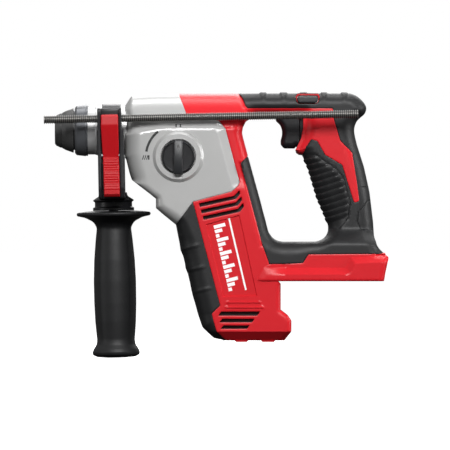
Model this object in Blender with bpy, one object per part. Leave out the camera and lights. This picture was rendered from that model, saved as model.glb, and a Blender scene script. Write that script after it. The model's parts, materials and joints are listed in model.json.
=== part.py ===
"""Cordless rotary hammer with a side handle and a depth rod, built piece by piece.

The spindle runs along X, its chuck points to -X, +Z is up and the mode knob faces -Y.
The origin is on the spindle axis, where the shank of a bit ends.
All sizes below are in millimetres; build functions turn them into metres.
"""
from math import atan, cos, pi, radians, sin, tan

import bmesh
import bpy
from mathutils import Matrix, Vector

MM = 0.001
GAP = 0.3                    # clearance between neighbouring pieces

# Driving dimensions
BIT_RADIUS = 5.0             # shank of an SDS-plus bit
COLLAR_RADIUS = 21.3         # neck that the side handle clamps on
BARREL_RADIUS = 32.0         # round top of the gear case and the housing
BODY_HALF_WIDTH = 34.5
BODY_SHOULDER_Z = 6.5        # the flat sides of the body start below this height
HANDLE_HALF_WIDTH = 17.0
FOOT_HALF_WIDTH = 36.0
LEG_HALF_WIDTH = 31.0        # rear corner of the motor housing, in front of the hand
FOOT_BOTTOM_Z = -131.0
COVER_THICKNESS = 2.5        # soft covering over the shells
WALL = 3.5
PART_SPLIT = 0.15            # each shell half ends this far from the middle plane

# Gear train
GEAR_MODULE = 2.0
SPINDLE_TEETH = 24
SHAFT_TEETH = 10
SHAFT_DROP = GEAR_MODULE * (SPINDLE_TEETH + SHAFT_TEETH) / 2
CROWN_TEETH = 20
PINION_TEETH = 5
MOTOR_TILT = radians(14.0)   # the motor leans back from the vertical
MOTOR_APEX_X = 78.5          # where the motor axis meets the intermediate shaft
CROWN_OUTER = 16.2
CROWN_INNER = 11.2
BACKLASH = 0.45

# Hammer mechanism
WOBBLE_X = 98.0
HUB_RADIUS = 9.5
CYLINDER_BORE = 13.6
PISTON_RADIUS = 13.3

TRIGGER_TRAVEL = 5.0

# Mode knob
KNOB_X = 63.9
KNOB_Z = -23.0
ECCENTRIC = 3.2

# Side handle
HANDLE_LEAN = radians(1.06)
SIDE_HANDLE_X = 6.2
ROD_Y = -38.5
ROD_Z = 9.9
ROD_RADIUS = 3.2
ROD_START = -58.5
ROD_END = 215.0
LEVER_PIN_Y = -43.8
LEVER_PIN_Z = -22.0

# Side outlines, as (x, z) points
CASE_OUTLINE = [(17.5, 32), (64, 32), (71, 14), (99, 8), (104.5, 1.5), (107, -8), (110.5, -21),
                (114, -34.5), (117, -45), (115.5, -48), (110, -53), (76.5, -62), (68, -72.6),
                (61.8, -82), (49.5, -72), (44.5, -67.5), (44.5, -59.5), (39, -55), (30.5, -48.5),
                (23.5, -43), (21.5, -37), (18.5, -25), (17.5, -24)]
HOUSING_OUTLINE = [(64.5, 32), (116.6, 32), (120, 27.6), (120.1, 3), (119.2, -2.2),
                   (120.1, -6.5), (124, -21.8), (117.9, -28.7), (136.5, -99.6), (142.7, -116),
                   (152.7, -131), (152.7, -155.7),
                   (159, -160.5), (162, -165), (162, -174.5), (156, -182.3), (105.3, -182.3),
                   (97.5, -174.5), (95.7, -169), (93, -159), (100.5, -152), (78.8, -69),
                   (77, -62.6), (110.3, -53.5), (116, -48.3), (117.5, -45), (114.5, -34.5),
                   (111, -21), (107.5, -8), (105, 1.7), (99.3, 8.4), (71.3, 14.4)]
MOTOR_FRONT_OUTLINE = [(62.2, -82.2), (63.5, -91), (65.7, -104), (70, -119.6), (74, -132.7),
                       (78.3, -150), (81, -159.6), (84.8, -171), (89.6, -175.7), (94.8, -180.5),
                       (105, -182.3), (97.2, -174.5), (95.4, -169), (92.6, -159), (100.1, -152),
                       (78.4, -69), (76.5, -62.6), (68.4, -72.8)]
MOTOR_FRONT_CORE = [(66.5, -83), (68, -104), (76.5, -132), (83.5, -159), (87, -169.5), (96, -178.5),
                    (112, -180), (112, -70), (80, -63.2)]
HANDLE_OUTLINE = [(112, 33.3), (213.2, 32.2), (221.9, 27.8), (227.5, 20), (226.2, 14.4),
                  (219.2, 8.3), (216.6, -0.4), (219.2, -12.6), (225.3, -31.8), (230.1, -53.5),
                  (233.2, -79.6), (233.2, -88.3), (234, -97), (242.7, -107.5), (177, -108.4),
                  (172.3, -115.3), (142.7, -116.1), (136, -118), (128, -99.6), (112, -30)]
GRIP_OPENING = [(127, 12.2), (131.4, 13.2), (172.3, 13.2), (172.3, 2.2), (170.5, -7), (165.5, -17),
                (171.4, -21.3), (176.6, -32.6), (184.4, -58.7), (189.7, -70.9), (194, -82.2),
                (194, -87.4), (192.3, -91.8), (183.6, -96.6), (154, -96.6), (149.6, -95.7),
                (142.2, -88.3), (134.9, -60.5), (124.4, -22.2), (120.1, -6.5), (119.2, -2.2),
                (120.1, 3), (123.5, 8.3)]
HANDLE_COVER = [(117, 33.3), (213.2, 32.2), (221.9, 27.8), (227.5, 20), (226.2, 14.4),
                (219.2, 8.3), (216.6, -0.4), (219.2, -12.6), (225.3, -31.8), (230.1, -53.5),
                (233.2, -79.6), (233.2, -88.3), (234, -97), (242.7, -107), (176.9, -107.9),
                (171.9, -115), (142.9, -115.8), (136.9, -99.6), (118.2, -28.7), (124.4, -22.2),
                (134.9, -60.5), (142.2, -88.3), (149.6, -95.7), (154, -96.6), (183.6, -96.6),
                (192.3, -91.8), (194, -87.4), (194, -82.2), (189.7, -70.9), (184.4, -58.7),
                (176.6, -32.6), (171.4, -21.3), (174.9, -14.4), (179.2, -7.8), (184.4, -9.1),
                (191.4, -21.3), (206.2, -30), (216.6, -63.1), (221, -61.3), (219.2, -47.4),
                (214.9, -19.6), (204.5, -9.1), (199.2, 8.3), (198.4, 17.5), (197.5, 19.3),
                (124.4, 19.3), (120.4, 28.3)]
BLADE_OUTLINE = [(116, 18.9), (197.2, 18.9), (198, 17.4), (198.9, 8.3), (204.1, -9.2),
                 (214.6, -19.8), (218.9, -47.4), (220.6, -61.1), (216.9, -62.6), (206.5, -29.7),
                 (191.6, -20.9), (184.6, -8.7), (179, -7.4), (174.5, -14.2), (171.2, -20),
                 (166.5, -19.5), (165.5, -17), (170.5, -7), (172.3, 2.2), (172.3, 13.2),
                 (131.4, 13.2), (127, 12.2), (123.5, 8.3), (116, 3)]
HANDLE_BAY = [(172, 12.5), (174, 15), (211, 15), (212, -12), (226, -88), (215, -94), (203, -50),
              (187, -17), (165, -15)]
FOOT_OUTLINE = [(133, -116.6), (142, -116.4), (172.2, -115.5), (177.1, -108.3), (244, -107.5),
                (246.4, -110), (243.6, -123), (242.3, FOOT_BOTTOM_Z), (133, FOOT_BOTTOM_Z)]
LEG_COVER = [(118.2, -28.7), (124.4, -22.2), (134.9, -60.5), (142.2, -88.3), (149.6, -95.7),
             (160, -96.6), (166, -107), (142.9, -112), (136.9, -99.6)]
LEG_CORE = [(112, -31), (122, -28), (132.4, -61), (139.8, -89.6), (148.6, -98.6), (158, -99.5),
            (160, -104), (141, -108), (130, -99)]
TRIGGER_OUTLINE = [(148.5, 12.9), (148.5, 8.3), (152.3, 4.8), (154, 0.4), (154, -3.9), (152.7, -9.1),
                   (152.7, -12.6), (154, -14.8), (155.7, -15.7), (164.8, -15.7), (166, -14.3),
                   (179.5, -14.3), (179.5, 12.9)]

COLOURS = {
    "red": (0.62, 0.03, 0.04, 1, 0.35, 0),
    "black_rubber": (0.03, 0.03, 0.032, 1, 0.75, 0),
    "black_plastic": (0.04, 0.04, 0.042, 1, 0.45, 0),
    "grey_metal": (0.45, 0.45, 0.45, 1, 0.45, 0.3),
    "steel": (0.55, 0.55, 0.57, 1, 0.3, 1),
    "dark_steel": (0.08, 0.085, 0.09, 1, 0.35, 1),
    "copper": (0.7, 0.35, 0.2, 1, 0.35, 1),
}


def clear_scene():
    """Remove everything that the start-up file holds."""
    for obj in list(bpy.data.objects):
        bpy.data.objects.remove(obj, do_unlink=True)


def material(name):
    """Principled material of one of the named colours."""
    found = bpy.data.materials.get(name)
    if found:
        return found
    red, green, blue, alpha, roughness, metallic = COLOURS[name]
    made = bpy.data.materials.new(name)
    made.use_nodes = True
    shader = made.node_tree.nodes["Principled BSDF"]
    shader.inputs["Base Color"].default_value = (red, green, blue, alpha)
    shader.inputs["Roughness"].default_value = roughness
    shader.inputs["Metallic"].default_value = metallic
    return made


def place(name, bm, colour, parent=None):
    """Turn a bmesh in millimetres into a named object in metres."""
    bmesh.ops.recalc_face_normals(bm, faces=bm.faces)
    bmesh.ops.scale(bm, vec=(MM, MM, MM), verts=bm.verts)
    mesh = bpy.data.meshes.new(name)
    bm.to_mesh(mesh)
    bm.free()
    obj = bpy.data.objects.new(name, mesh)
    bpy.context.collection.objects.link(obj)
    if colour is not None:
        mesh.materials.append(material(colour))
        mesh.shade_smooth()
        mesh.set_sharp_from_angle(angle=radians(35))
    obj.parent = parent
    return obj


def axis_empty(name, x, y, z, turn_y=0.0):
    """Empty on a joint's axis; the pieces that turn there are its children."""
    empty = bpy.data.objects.new(name, None)
    empty.location = (x * MM, y * MM, z * MM)
    empty.rotation_euler = (0, turn_y, 0)
    bpy.context.collection.objects.link(empty)
    return empty


def boolean(obj, tool, operation):
    """Apply a hidden tool object to obj with an exact Boolean."""
    tool.hide_render = True
    tool.display_type = "WIRE"
    tool.name = obj.name + "_" + operation.lower()
    modifier = obj.modifiers.new(operation.title(), "BOOLEAN")
    modifier.operation = operation
    modifier.solver = "EXACT"
    modifier.object = tool


def cut(obj, *tools):
    for tool in tools:
        boolean(obj, tool, "DIFFERENCE")


def join(obj, *tools):
    for tool in tools:
        boolean(obj, tool, "UNION")


def keep_inside(obj, tool):
    boolean(obj, tool, "INTERSECT")


def inset(outline, distance):
    """Offset a closed outline inwards (outwards when distance is negative)."""
    area = sum(a[0] * b[1] - b[0] * a[1] for a, b in zip(outline, outline[1:] + outline[:1]))
    side = 1 if area > 0 else -1
    moved = []
    for i, point in enumerate(outline):
        before = Vector(point) - Vector(outline[i - 1])
        after = Vector(outline[(i + 1) % len(outline)]) - Vector(point)
        first = Vector((-before.y, before.x)).normalized() * side
        second = Vector((-after.y, after.x)).normalized() * side
        middle = (first + second).normalized()
        moved.append(tuple(Vector(point) + middle * distance / max(middle.dot(first), 0.35)))
    return moved


def stack(rings):
    """Closed bmesh from equal rings of points, with flat ends."""
    bm = bmesh.new()
    loops = [[bm.verts.new(point) for point in ring] for ring in rings]
    for low, high in zip(loops, loops[1:]):
        for i in range(len(low)):
            j = (i + 1) % len(low)
            bm.faces.new((low[i], low[j], high[j], high[i]))
    bm.faces.new(loops[0])
    bm.faces.new(loops[-1])
    return bm


def side_plate(name, outline, low, high, colour=None, parent=None, chamfer_low=0.0, chamfer_high=0.0):
    """Prism of an (x, z) outline between two y values, with chamfered rims if wanted."""
    rings = []
    if chamfer_low:
        rings.append([(x, low, z) for x, z in inset(outline, chamfer_low)])
        low += chamfer_low
    rings.append([(x, low, z) for x, z in outline])
    top = high - chamfer_high
    rings.append([(x, top, z) for x, z in outline])
    if chamfer_high:
        rings.append([(x, high, z) for x, z in inset(outline, chamfer_high)])
    return place(name, stack(rings), colour, parent)


def end_plate(name, outline, low, high, colour=None, parent=None):
    """Prism of a (y, z) outline between two x values."""
    return place(name, stack([[(x, y, z) for y, z in outline] for x in (low, high)]), colour, parent)


def block(name, low, high, colour=None, parent=None):
    """Box between two corners."""
    corners = [(low[0], low[2]), (high[0], low[2]), (high[0], high[2]), (low[0], high[2])]
    return side_plate(name, corners, low[1], high[1], colour, parent)


def along(axis, t, radius, angle):
    """Point at a distance t along an axis, and radius from it."""
    a = radius * cos(angle)
    b = radius * sin(angle)
    return {"X": (t, a, b), "Y": (a, t, b), "Z": (a, b, t)}[axis]


def swept(sections, axis, centre=(0, 0, 0)):
    """Closed ring body: each section is an angle with a closed list of (radius, t) points."""
    bm = bmesh.new()
    rows = []
    for angle, points in sections:
        rows.append([bm.verts.new(Vector(along(axis, t, radius, angle)) + Vector(centre))
                     for radius, t in points])
    for row, following in zip(rows, rows[1:] + rows[:1]):
        for i in range(len(row)):
            j = (i + 1) % len(row)
            bm.faces.new((row[i], row[j], following[j], following[i]))
    return bm


def ring(name, points, colour=None, parent=None, axis="X", sides=24, centre=(0, 0, 0)):
    """Turned body with a hole: points are its closed section as (radius, t)."""
    sections = [(2 * pi * i / sides, points) for i in range(sides)]
    return place(name, swept(sections, axis, centre), colour, parent)


def solid(name, points, colour=None, parent=None, axis="X", sides=20, centre=(0, 0, 0)):
    """Turned solid body: points are (radius, t) from one end to the other."""
    rings = []
    for radius, t in points:
        rings.append([Vector(along(axis, t, radius, 2 * pi * i / sides)) + Vector(centre)
                      for i in range(sides)])
    return place(name, stack(rings), colour, parent)


def rod(name, radius, low, high, colour=None, parent=None, axis="X", sides=20, centre=(0, 0, 0)):
    return solid(name, [(radius, low), (radius, high)], colour, parent, axis, sides, centre)


def bearing(name, inner, outer, low, high, parent, axis="X"):
    """Sealed bearing, as one ring."""
    points = [(outer, low), (inner, low), (inner, high), (outer, high)]
    return ring(name, points, "steel", parent, axis, 20)


def coil(name, radius, wire, low, high, turns, parent, axis="X", centre=(0, 0, 0)):
    """Open coil spring along an axis."""
    steps = int(turns * 9)
    sides = 4
    rings = []
    for i in range(steps + 1):
        angle = 2 * pi * turns * i / steps
        t = low + wire + (high - low - 2 * wire) * i / steps
        section = []
        for k in range(sides):
            turn = 2 * pi * k / sides
            point = along(axis, t + wire * sin(turn), radius + wire * cos(turn), angle)
            section.append(Vector(point) + Vector(centre))
        rings.append(section)
    return place(name, stack(rings), "steel", parent)


def tooth_angles(teeth, root_half, tip_half, phase):
    """Angles of the four corners of each tooth, with 0 at a root corner and 1 at a tip corner."""
    corners = []
    for i in range(teeth):
        middle = phase + 2 * pi * i / teeth
        corners += [(middle - root_half, 0), (middle - tip_half, 1), (middle + tip_half, 1),
                    (middle + root_half, 0)]
    return corners


def spur_corners(teeth, phase=0.0):
    """Corner angles and radii of a spur gear's teeth, with backlash taken off."""
    pitch = GEAR_MODULE * teeth / 2
    tip = pitch + 0.8 * GEAR_MODULE
    root = pitch - 1.15 * GEAR_MODULE
    half = (pi * GEAR_MODULE / 2 - BACKLASH) / 2
    slope = tan(radians(22))
    root_half = (half + (pitch - root) * slope) / pitch
    tip_half = (half - (tip - pitch) * slope) / pitch
    root_half = min(root_half, pi / teeth * 0.96)
    return [(angle, tip if high else root) for angle, high in
            tooth_angles(teeth, root_half, tip_half, phase)]


def make_chuck(spindle_axis):
    """SDS-plus chuck: dust cap, locking sleeve, its spring and the two locking balls."""
    ring("dust_cap", [(11.8, -43.5), (13.2, -42.5), (14.8, -39.2), (16.8, -34.8), (19.2, -27.2),
                      (10, -27.2), (10, -40.3), (5.7, -40.3), (5.7, -43.5)],
         "black_rubber", spindle_axis)
    ring("locking_sleeve", [(19.6, -26.1), (21.5, -24.8), (22.3, -15.5), (22.3, -14.8),
                            (COLLAR_RADIUS + GAP, -14.8), (COLLAR_RADIUS + GAP, -23.3),
                            (12.5, -23.3), (12.5, -26.1)], "dark_steel", spindle_axis, sides=32)
    coil("sleeve_spring", 13.9, 0.5, -22.8, -11.9, 4, spindle_axis)
    for name, side in (("locking_ball_top", 1), ("locking_ball_bottom", -1)):
        bm = bmesh.new()
        bmesh.ops.create_uvsphere(bm, u_segments=10, v_segments=6, radius=3.1,
                                  matrix=Matrix.Translation((-20, 0, side * 8.0)))
        place(name, bm, "steel", spindle_axis)


def make_spindle(spindle_axis):
    """Hollow spindle: tool holder in front, guide for the beat piece, cylinder behind."""
    spindle = ring("spindle", [(9.7, -40), (9.7, -26.8), (12, -26.8), (12, -11.5), (15, -11.5),
                               (15, -9.5), (12.5, -9.5), (12.5, 11), (16, 16), (16, 84),
                               (CYLINDER_BORE, 84), (CYLINDER_BORE, 37), (8.3, 36), (8.3, 6),
                               (BIT_RADIUS + 0.15, 6), (BIT_RADIUS + 0.15, -40)],
                   "steel", spindle_axis, sides=20)
    cut(spindle, rod("ball_windows", 3.4, -14, 14, axis="Z", sides=12, centre=(-20, 0, 0)))
    beat_axis = axis_empty("beat_axis", 0, 0, 0)
    solid("beat_piece", [(4.8, 0), (4.8, 6.4), (8, 6.8), (8, 31), (7, 32), (7, 36)],
          "steel", beat_axis)
    solid("striker", [(7, 52), (7, 56), (10, 57), (10, 73.5)], "steel", beat_axis)
    bearing("spindle_front_bearing", 12.8, 18.5, -4, 6, None)
    ring("front_seal", [(18.5, -8.5), (18.5, -4.8), (12.9, -4.8), (12.9, -8.5)],
         "black_rubber", None, sides=24)
    bearing("spindle_rear_bearing", 16.3, 21.5, 51.3, 56.7, None)
    coil("clutch_spring", 18.8, 1.2, 41.5, 50.8, 2, spindle_axis)
    points = []
    for angle, radius in spur_corners(SPINDLE_TEETH):
        points.append((angle, [(radius, 33), (radius, 41), (16.3, 41), (16.3, 33)]))
    place("spindle_gear", swept(points, "X"), "steel", spindle_axis)


def make_piston():
    """Hollow piston with two ears, and the cross pin that the wobble finger goes through."""
    body = rod("piston", PISTON_RADIUS, 50, 86, "steel", sides=24)
    ear_outline = [(85, -6.5), (104, -6.5), (104, 6.5), (85, 6.5)]
    join(body, side_plate("ears", ear_outline, -11, 11))
    cut(body, rod("cup", 10.3, 49, 82, sides=24),
        side_plate("slot", [(86.5, -8), (106, -8), (106, 8), (86.5, 8)], -6, 6),
        rod("pin_hole", 4.8, -13, 13, axis="Y", centre=(WOBBLE_X, 0, 0)))
    pin_axis = axis_empty("piston_pin_axis", WOBBLE_X, 0, 0)
    pin = rod("piston_pin", 4.5, -10.8, 10.8, "steel", pin_axis, axis="Y")
    cut(pin, rod("finger_hole", 3.0, -7, 7, axis="Z", sides=16, centre=(WOBBLE_X, 0, 0)))


def make_intermediate_shaft():
    """Shaft below the spindle: pinion, crown gear, wobble drive, clutch sleeve, two bearings."""
    axis = axis_empty("shaft_axis", 0, 0, -SHAFT_DROP)
    sections = []
    for angle, radius in spur_corners(SHAFT_TEETH, pi / 2 + pi / SHAFT_TEETH):
        sections.append((angle, [(3.5, 26.8), (3.5, 31.6), (radius, 31.6), (radius, 42.4),
                                 (5, 42.4), (5, 107.8), (3.7, 107.8), (3.7, 114)]))
    bm = swept_solid(sections)
    place("intermediate_shaft", bm, "steel", axis)
    crown_gear(axis)
    hub = solid("wobble_hub", [(HUB_RADIUS * sin(a), WOBBLE_X - HUB_RADIUS * cos(a))
                               for a in [radians(d) for d in (36, 60, 90, 120, 144)]],
                "steel", axis)
    cut(hub, rod("hub_bore", 5.3, 80, 112, sides=20, centre=(0, 0, -SHAFT_DROP)))
    ring("hammer_clutch_sleeve", [(9, 80.8), (9, 81.8), (7.6, 81.8), (7.6, 84), (9, 84), (9, 85.1),
                                  (5.3, 85.1), (5.3, 80.8)], "steel", axis, sides=16)
    bearing("shaft_front_bearing", 3.8, 7, 26.8, 31.2, axis)
    bearing("shaft_rear_bearing", 4.0, 8, 108.4, 113.2, axis)
    wobble_axis = axis_empty("wobble_axis", WOBBLE_X, 0, -SHAFT_DROP)
    wobble = ring("wobble_ring", [(14, -3.5), (14, 3.5), (HUB_RADIUS + 0.5, 3.5),
                                  (HUB_RADIUS + 0.5, -3.5)], "steel", wobble_axis, sides=24)
    join(wobble, rod("finger", 2.6, 12, SHAFT_DROP + 5.5, axis="Z", sides=16,
                     centre=(WOBBLE_X, 0, -SHAFT_DROP)))
    return axis


def swept_solid(sections):
    """Solid turned along X whose radius may differ from one angle to the next."""
    rings = []
    for i in range(len(sections[0][1])):
        rings.append([along("X", points[i][1], points[i][0], angle) for angle, points in sections])
    return stack(rings)


def crown_gear(axis):
    """Gear on the intermediate shaft whose face teeth meet the motor's pinion."""
    corners = tooth_angles(CROWN_TEETH, radians(6.2), radians(2.2), -pi / 2 + pi / CROWN_TEETH)
    back = MOTOR_APEX_X - 8
    root = MOTOR_APEX_X - 1.6
    tip = MOTOR_APEX_X + 0.9
    sections = []
    for angle, high in corners:
        front = tip if high else root
        inner_front = root + (front - root) * CROWN_INNER / CROWN_OUTER
        sections.append((angle, [(5.3, back), (CROWN_OUTER, back), (CROWN_OUTER, front),
                                 (CROWN_INNER, inner_front), (CROWN_INNER - 0.6, root),
                                 (5.3, root)]))
    place("driven_bevel_gear", swept(sections, "X"), "steel", axis)


def make_motor():
    """Motor below the gear train, on its own tilted axis that points down and back."""
    axis = axis_empty("motor_axis", MOTOR_APEX_X, 0, -SHAFT_DROP, -MOTOR_TILT)
    cone = atan(sin(pi / 2 + MOTOR_TILT) / (CROWN_TEETH / PINION_TEETH + cos(pi / 2 + MOTOR_TILT)))
    rings = []
    corners = tooth_angles(PINION_TEETH, radians(23), radians(6), pi)
    for distance in (CROWN_INNER - 0.2, CROWN_OUTER + 0.3):
        module = 2 * distance / CROWN_TEETH
        section = []
        for angle, high in corners:
            height = 0.8 * module if high else -1.0 * module
            radius = distance * sin(cone) + height * cos(cone)
            t = -distance * cos(cone) + height * sin(cone)
            section.append(along("Z", t, radius, angle))
        rings.append(section)
    for radius, t in ((2.5, -18.5), (3, -20), (3, -139)):
        rings.append([along("Z", t, radius, angle) for angle, high in corners])
    place("motor_shaft", stack(rings), "steel", axis)
    bearing("motor_top_bearing", 3.3, 9.5, -42, -36, axis, "Z")
    make_fan(axis)
    ring("motor_can", [(22, -58), (22, -117), (20.6, -117), (20.6, -59.5), (10, -59.5), (10, -58)],
         "dark_steel", axis, "Z")
    ring("motor_magnet_ring", [(20.2, -63), (20.2, -114), (15.4, -114), (15.4, -63)],
         "dark_steel", axis, "Z")
    ring("armature_core", [(14.8, -66), (14.8, -110), (3.3, -110), (3.3, -66)],
         "copper", axis, "Z", 24)
    ring("commutator", [(8, -112), (8, -125), (3.3, -125), (3.3, -112)], "copper", axis, "Z", 24)
    holder = ring("brush_holder", [(21.5, -118), (21.5, -127), (9, -127), (9, -118)],
                  "black_plastic", axis, "Z")
    slot = block("brush_slots", (-3.3, -23, -125.3), (3.3, 23, -119.7))
    slot.parent = axis
    cut(holder, slot)
    for name, side in (("brush_left", -1), ("brush_right", 1)):
        low, high = sorted((side * 8.4, side * 18))
        block(name, (-3, low, -125), (3, high, -120), "black_plastic", axis)
    bearing("motor_bottom_bearing", 3.3, 8, -137, -131, axis, "Z")


def make_fan(axis):
    """Cooling fan: a hub plate with radial blades."""
    blades = 8
    sections = []
    for angle, high in tooth_angles(blades, radians(6), radians(4), 0):
        top = -47 if high else -51
        sections.append((angle, [(3.3, -52.5), (20.5, -52.5), (20.5, top), (7.5, top), (7, -46.5),
                                 (3.3, -46.5)]))
    place("motor_fan", swept(sections, "Z"), "black_plastic", axis)


def envelope(name):
    """Cross-section of the body: a round barrel above flat sides."""
    barrel = solid(name, [(21.4, 17), (28.2, 21.7), (30, 23.5), (31, 35), (BARREL_RADIUS, 64),
                          (BARREL_RADIUS, 130)], sides=48)
    join(barrel, block(name + "_sides", (10, -BODY_HALF_WIDTH, -190),
                       (170, BODY_HALF_WIDTH, BODY_SHOULDER_Z)))
    return barrel


def make_gear_case():
    """Gear case in one piece with the neck, with seats for the bearings."""
    case = side_plate("gear_case", CASE_OUTLINE, -40, 40, "grey_metal")
    keep_inside(case, envelope("case_envelope"))
    boss_face = -BODY_HALF_WIDTH - 1.6
    join(case, rod("neck", COLLAR_RADIUS, -15.5, 20, sides=32),
         ring("knob_boss", [(22.2, boss_face), (22.2, -30), (16, -30), (16, boss_face)],
              axis="Y", sides=28, centre=(KNOB_X, 0, KNOB_Z)))
    inner = BARREL_RADIUS - WALL
    side = BODY_HALF_WIDTH - WALL
    front = [(21, 4), (51, 4), (51, -57), (42, -53), (32, -46.6), (26, -42.2), (21.5, -28)]
    rear = [(57, 4), (125, 4), (125, -16), (107.8, -16), (107.8, -95), (75, -95),
            (66.5, -82.5), (57.5, -75), (48, -66), (48, -58), (57, -54)]
    cut(case, solid("front_chamber", [(24, 21), (inner, 28), (inner, 51)], sides=24),
        rod("rear_chamber", inner, 57, 130, sides=24),
        side_plate("front_sump", front, -side, side),
        side_plate("rear_sump", rear, -side, side),
        rod("neck_bore", 18.8, -20, 7, sides=24),
        rod("throat", 16.6, 0, 25, sides=24),
        rod("rear_bearing_seat", 21.9, 45, 60, sides=24),
        rod("shaft_passage", 10.6, 45, 60, centre=(0, 0, -SHAFT_DROP)),
        rod("shaft_bearing_seat", 8.3, 100, 125, centre=(0, 0, -SHAFT_DROP)),
        rod("knob_recess", 15.8, -40, -BODY_HALF_WIDTH + 1, axis="Y", sides=32, centre=(KNOB_X, 0, KNOB_Z)),
        rod("knob_bore", 5.3, -40, -25, axis="Y", centre=(KNOB_X, 0, KNOB_Z)))


def make_mode_selector():
    """Knob with its eccentric pin, and the fork that the pin shifts."""
    axis = axis_empty("knob_axis", KNOB_X, 0, KNOB_Z)
    centre = (KNOB_X, 0, KNOB_Z)
    face = -BODY_HALF_WIDTH + 0.7
    knob = rod("mode_knob", 14.4, -39.5, face, "black_plastic", axis, "Y", 28)
    join(knob, rod("knob_stem", 5.0, -36, -29.4, axis="Y", centre=centre),
         side_plate("knob_bar", [(KNOB_X - 3.9, KNOB_Z - 15.2), (KNOB_X + 3.9, KNOB_Z - 15.2),
                                 (KNOB_X + 3.9, KNOB_Z + 14.6), (KNOB_X - 3.9, KNOB_Z + 14.6)],
                    -45.5, -37, chamfer_low=1.0),
         rod("eccentric_pin", 1.5, -31, -26, axis="Y", sides=16,
             centre=(KNOB_X, 0, KNOB_Z - ECCENTRIC)))
    bar = [(58, -33), (84.3, -33), (84.3, -18), (58, -18)]
    fork = side_plate("mode_shift_fork", bar, -28.8, -25.2, "steel")
    tine = block("tine", (82.2, -26, -31), (83.6, -1, -18))
    slot = side_plate("fork_slot", [(KNOB_X - 2.3, -31), (KNOB_X + 2.3, -31), (KNOB_X + 2.3, -19),
                                    (KNOB_X - 2.3, -19)], -35, -20)
    join(fork, tine)
    cut(fork, slot, rod("sleeve_notch", 7.9, 80, 86, centre=(0, 0, -SHAFT_DROP)))


def foot_tools():
    """Cutters for the rails under the foot that a battery slides on, and for its terminals."""
    slot = block("battery_slot", (166, -20, -140), (260, 20, -119))
    join(slot, block("battery_grooves", (166, -24, -127.5), (260, 24, -119)))
    return slot


def make_half(side):
    """One red shell half and the soft covering on it. side is -1 for left and 1 for right."""
    label = "left" if side < 0 else "right"

    def half_plate(name, outline, depth, colour=None, chamfer=0.0, start=PART_SPLIT):
        if side > 0:
            return side_plate(name, outline, start, depth, colour, chamfer_high=chamfer)
        return side_plate(name, outline, -depth, -start, colour, chamfer_low=chamfer)

    core_depth = HANDLE_HALF_WIDTH - COVER_THICKNESS
    shell = half_plate("housing_" + label, HOUSING_OUTLINE, BODY_HALF_WIDTH + 3, "red")
    keep_inside(shell, envelope("housing_envelope"))
    join(shell, half_plate("front_core", MOTOR_FRONT_CORE, BODY_HALF_WIDTH - COVER_THICKNESS))
    core = half_plate("handle_core", inset(HANDLE_OUTLINE, COVER_THICKNESS), core_depth)
    cut(core, half_plate("core_opening", inset(GRIP_OPENING, -COVER_THICKNESS), 40, start=-1))
    leg_core = half_plate("leg_core", LEG_CORE, LEG_HALF_WIDTH - COVER_THICKNESS, chamfer=4.0)
    join(shell, core, leg_core, half_plate("blade", BLADE_OUTLINE, HANDLE_HALF_WIDTH, chamfer=1.0),
         half_plate("foot", FOOT_OUTLINE, FOOT_HALF_WIDTH, chamfer=3.0))
    cut(shell, *housing_cavities(half_plate), foot_tools())

    cover = half_plate("handle_overmold_" + label, HANDLE_COVER, HANDLE_HALF_WIDTH, "black_rubber", 3.0)
    grown = half_plate("core_space", inset(HANDLE_OUTLINE, COVER_THICKNESS - GAP), core_depth + GAP, start=-1)
    cut(grown, half_plate("core_space_opening", inset(GRIP_OPENING, GAP - COVER_THICKNESS), 40, start=-2))
    join(cover, half_plate("leg_cover", LEG_COVER, LEG_HALF_WIDTH, chamfer=3.0))
    cut(cover, grown, half_plate("blade_space", inset(BLADE_OUTLINE, -GAP), 40, start=-1),
        half_plate("leg_space", inset(LEG_CORE, -GAP), LEG_HALF_WIDTH - COVER_THICKNESS + GAP,
                   start=-1), shuttle_opening())

    front = half_plate("motor_overmold_" + label, MOTOR_FRONT_OUTLINE, BODY_HALF_WIDTH, "black_rubber", 3.0)
    cut(front, half_plate("front_space", inset(MOTOR_FRONT_CORE, -GAP),
                          BODY_HALF_WIDTH - COVER_THICKNESS + GAP, start=-1))
    return shell


def housing_cavities(half_plate):
    """Hollows of one shell: gear bay, motor bay, handle bay, trigger mouth and shuttle slot."""
    depth = BODY_HALF_WIDTH - COVER_THICKNESS - 2
    gear_bay = rod("gear_bay", BARREL_RADIUS - WALL, 60, 116.3, sides=24)
    motor_bay = solid("motor_bay", [(9.8, -20), (9.8, -44), (23, -45.5), (23, -141)], axis="Z", sides=32)
    motor_bay.rotation_euler.y = -MOTOR_TILT
    motor_bay.location = (MOTOR_APEX_X * MM, 0, -SHAFT_DROP * MM)
    lower_bay = half_plate("lower_bay", [(104, 4), (116.3, 4), (116.3, -8), (119.5, -40), (132, -100),
                                         (147, -140), (147, -158), (155, -166), (155, -173),
                                         (151, -178.5), (100, -178.5), (92, -172), (87, -160),
                                         (80, -134), (71.5, -104), (70, -88), (100, -80), (100, -60)],
                           depth, start=-1)
    foot_bay = half_plate("foot_bay", [(172, -116), (177, -112), (240, -111.3), (240, -116)], 32, start=-1)
    handle_bay = half_plate("handle_bay", HANDLE_BAY, 10.5, start=-1)
    trigger_bay = half_plate("trigger_bay", inset(TRIGGER_OUTLINE, -0.6), 9.8, start=-1)
    pulled = [(x + TRIGGER_TRAVEL, z) for x, z in TRIGGER_OUTLINE]
    travel_bay = half_plate("travel_bay", inset(pulled, -0.6), 9.8, start=-1)
    return [gear_bay, lower_bay, foot_bay, motor_bay, handle_bay, trigger_bay, travel_bay,
            shuttle_opening()]


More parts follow.
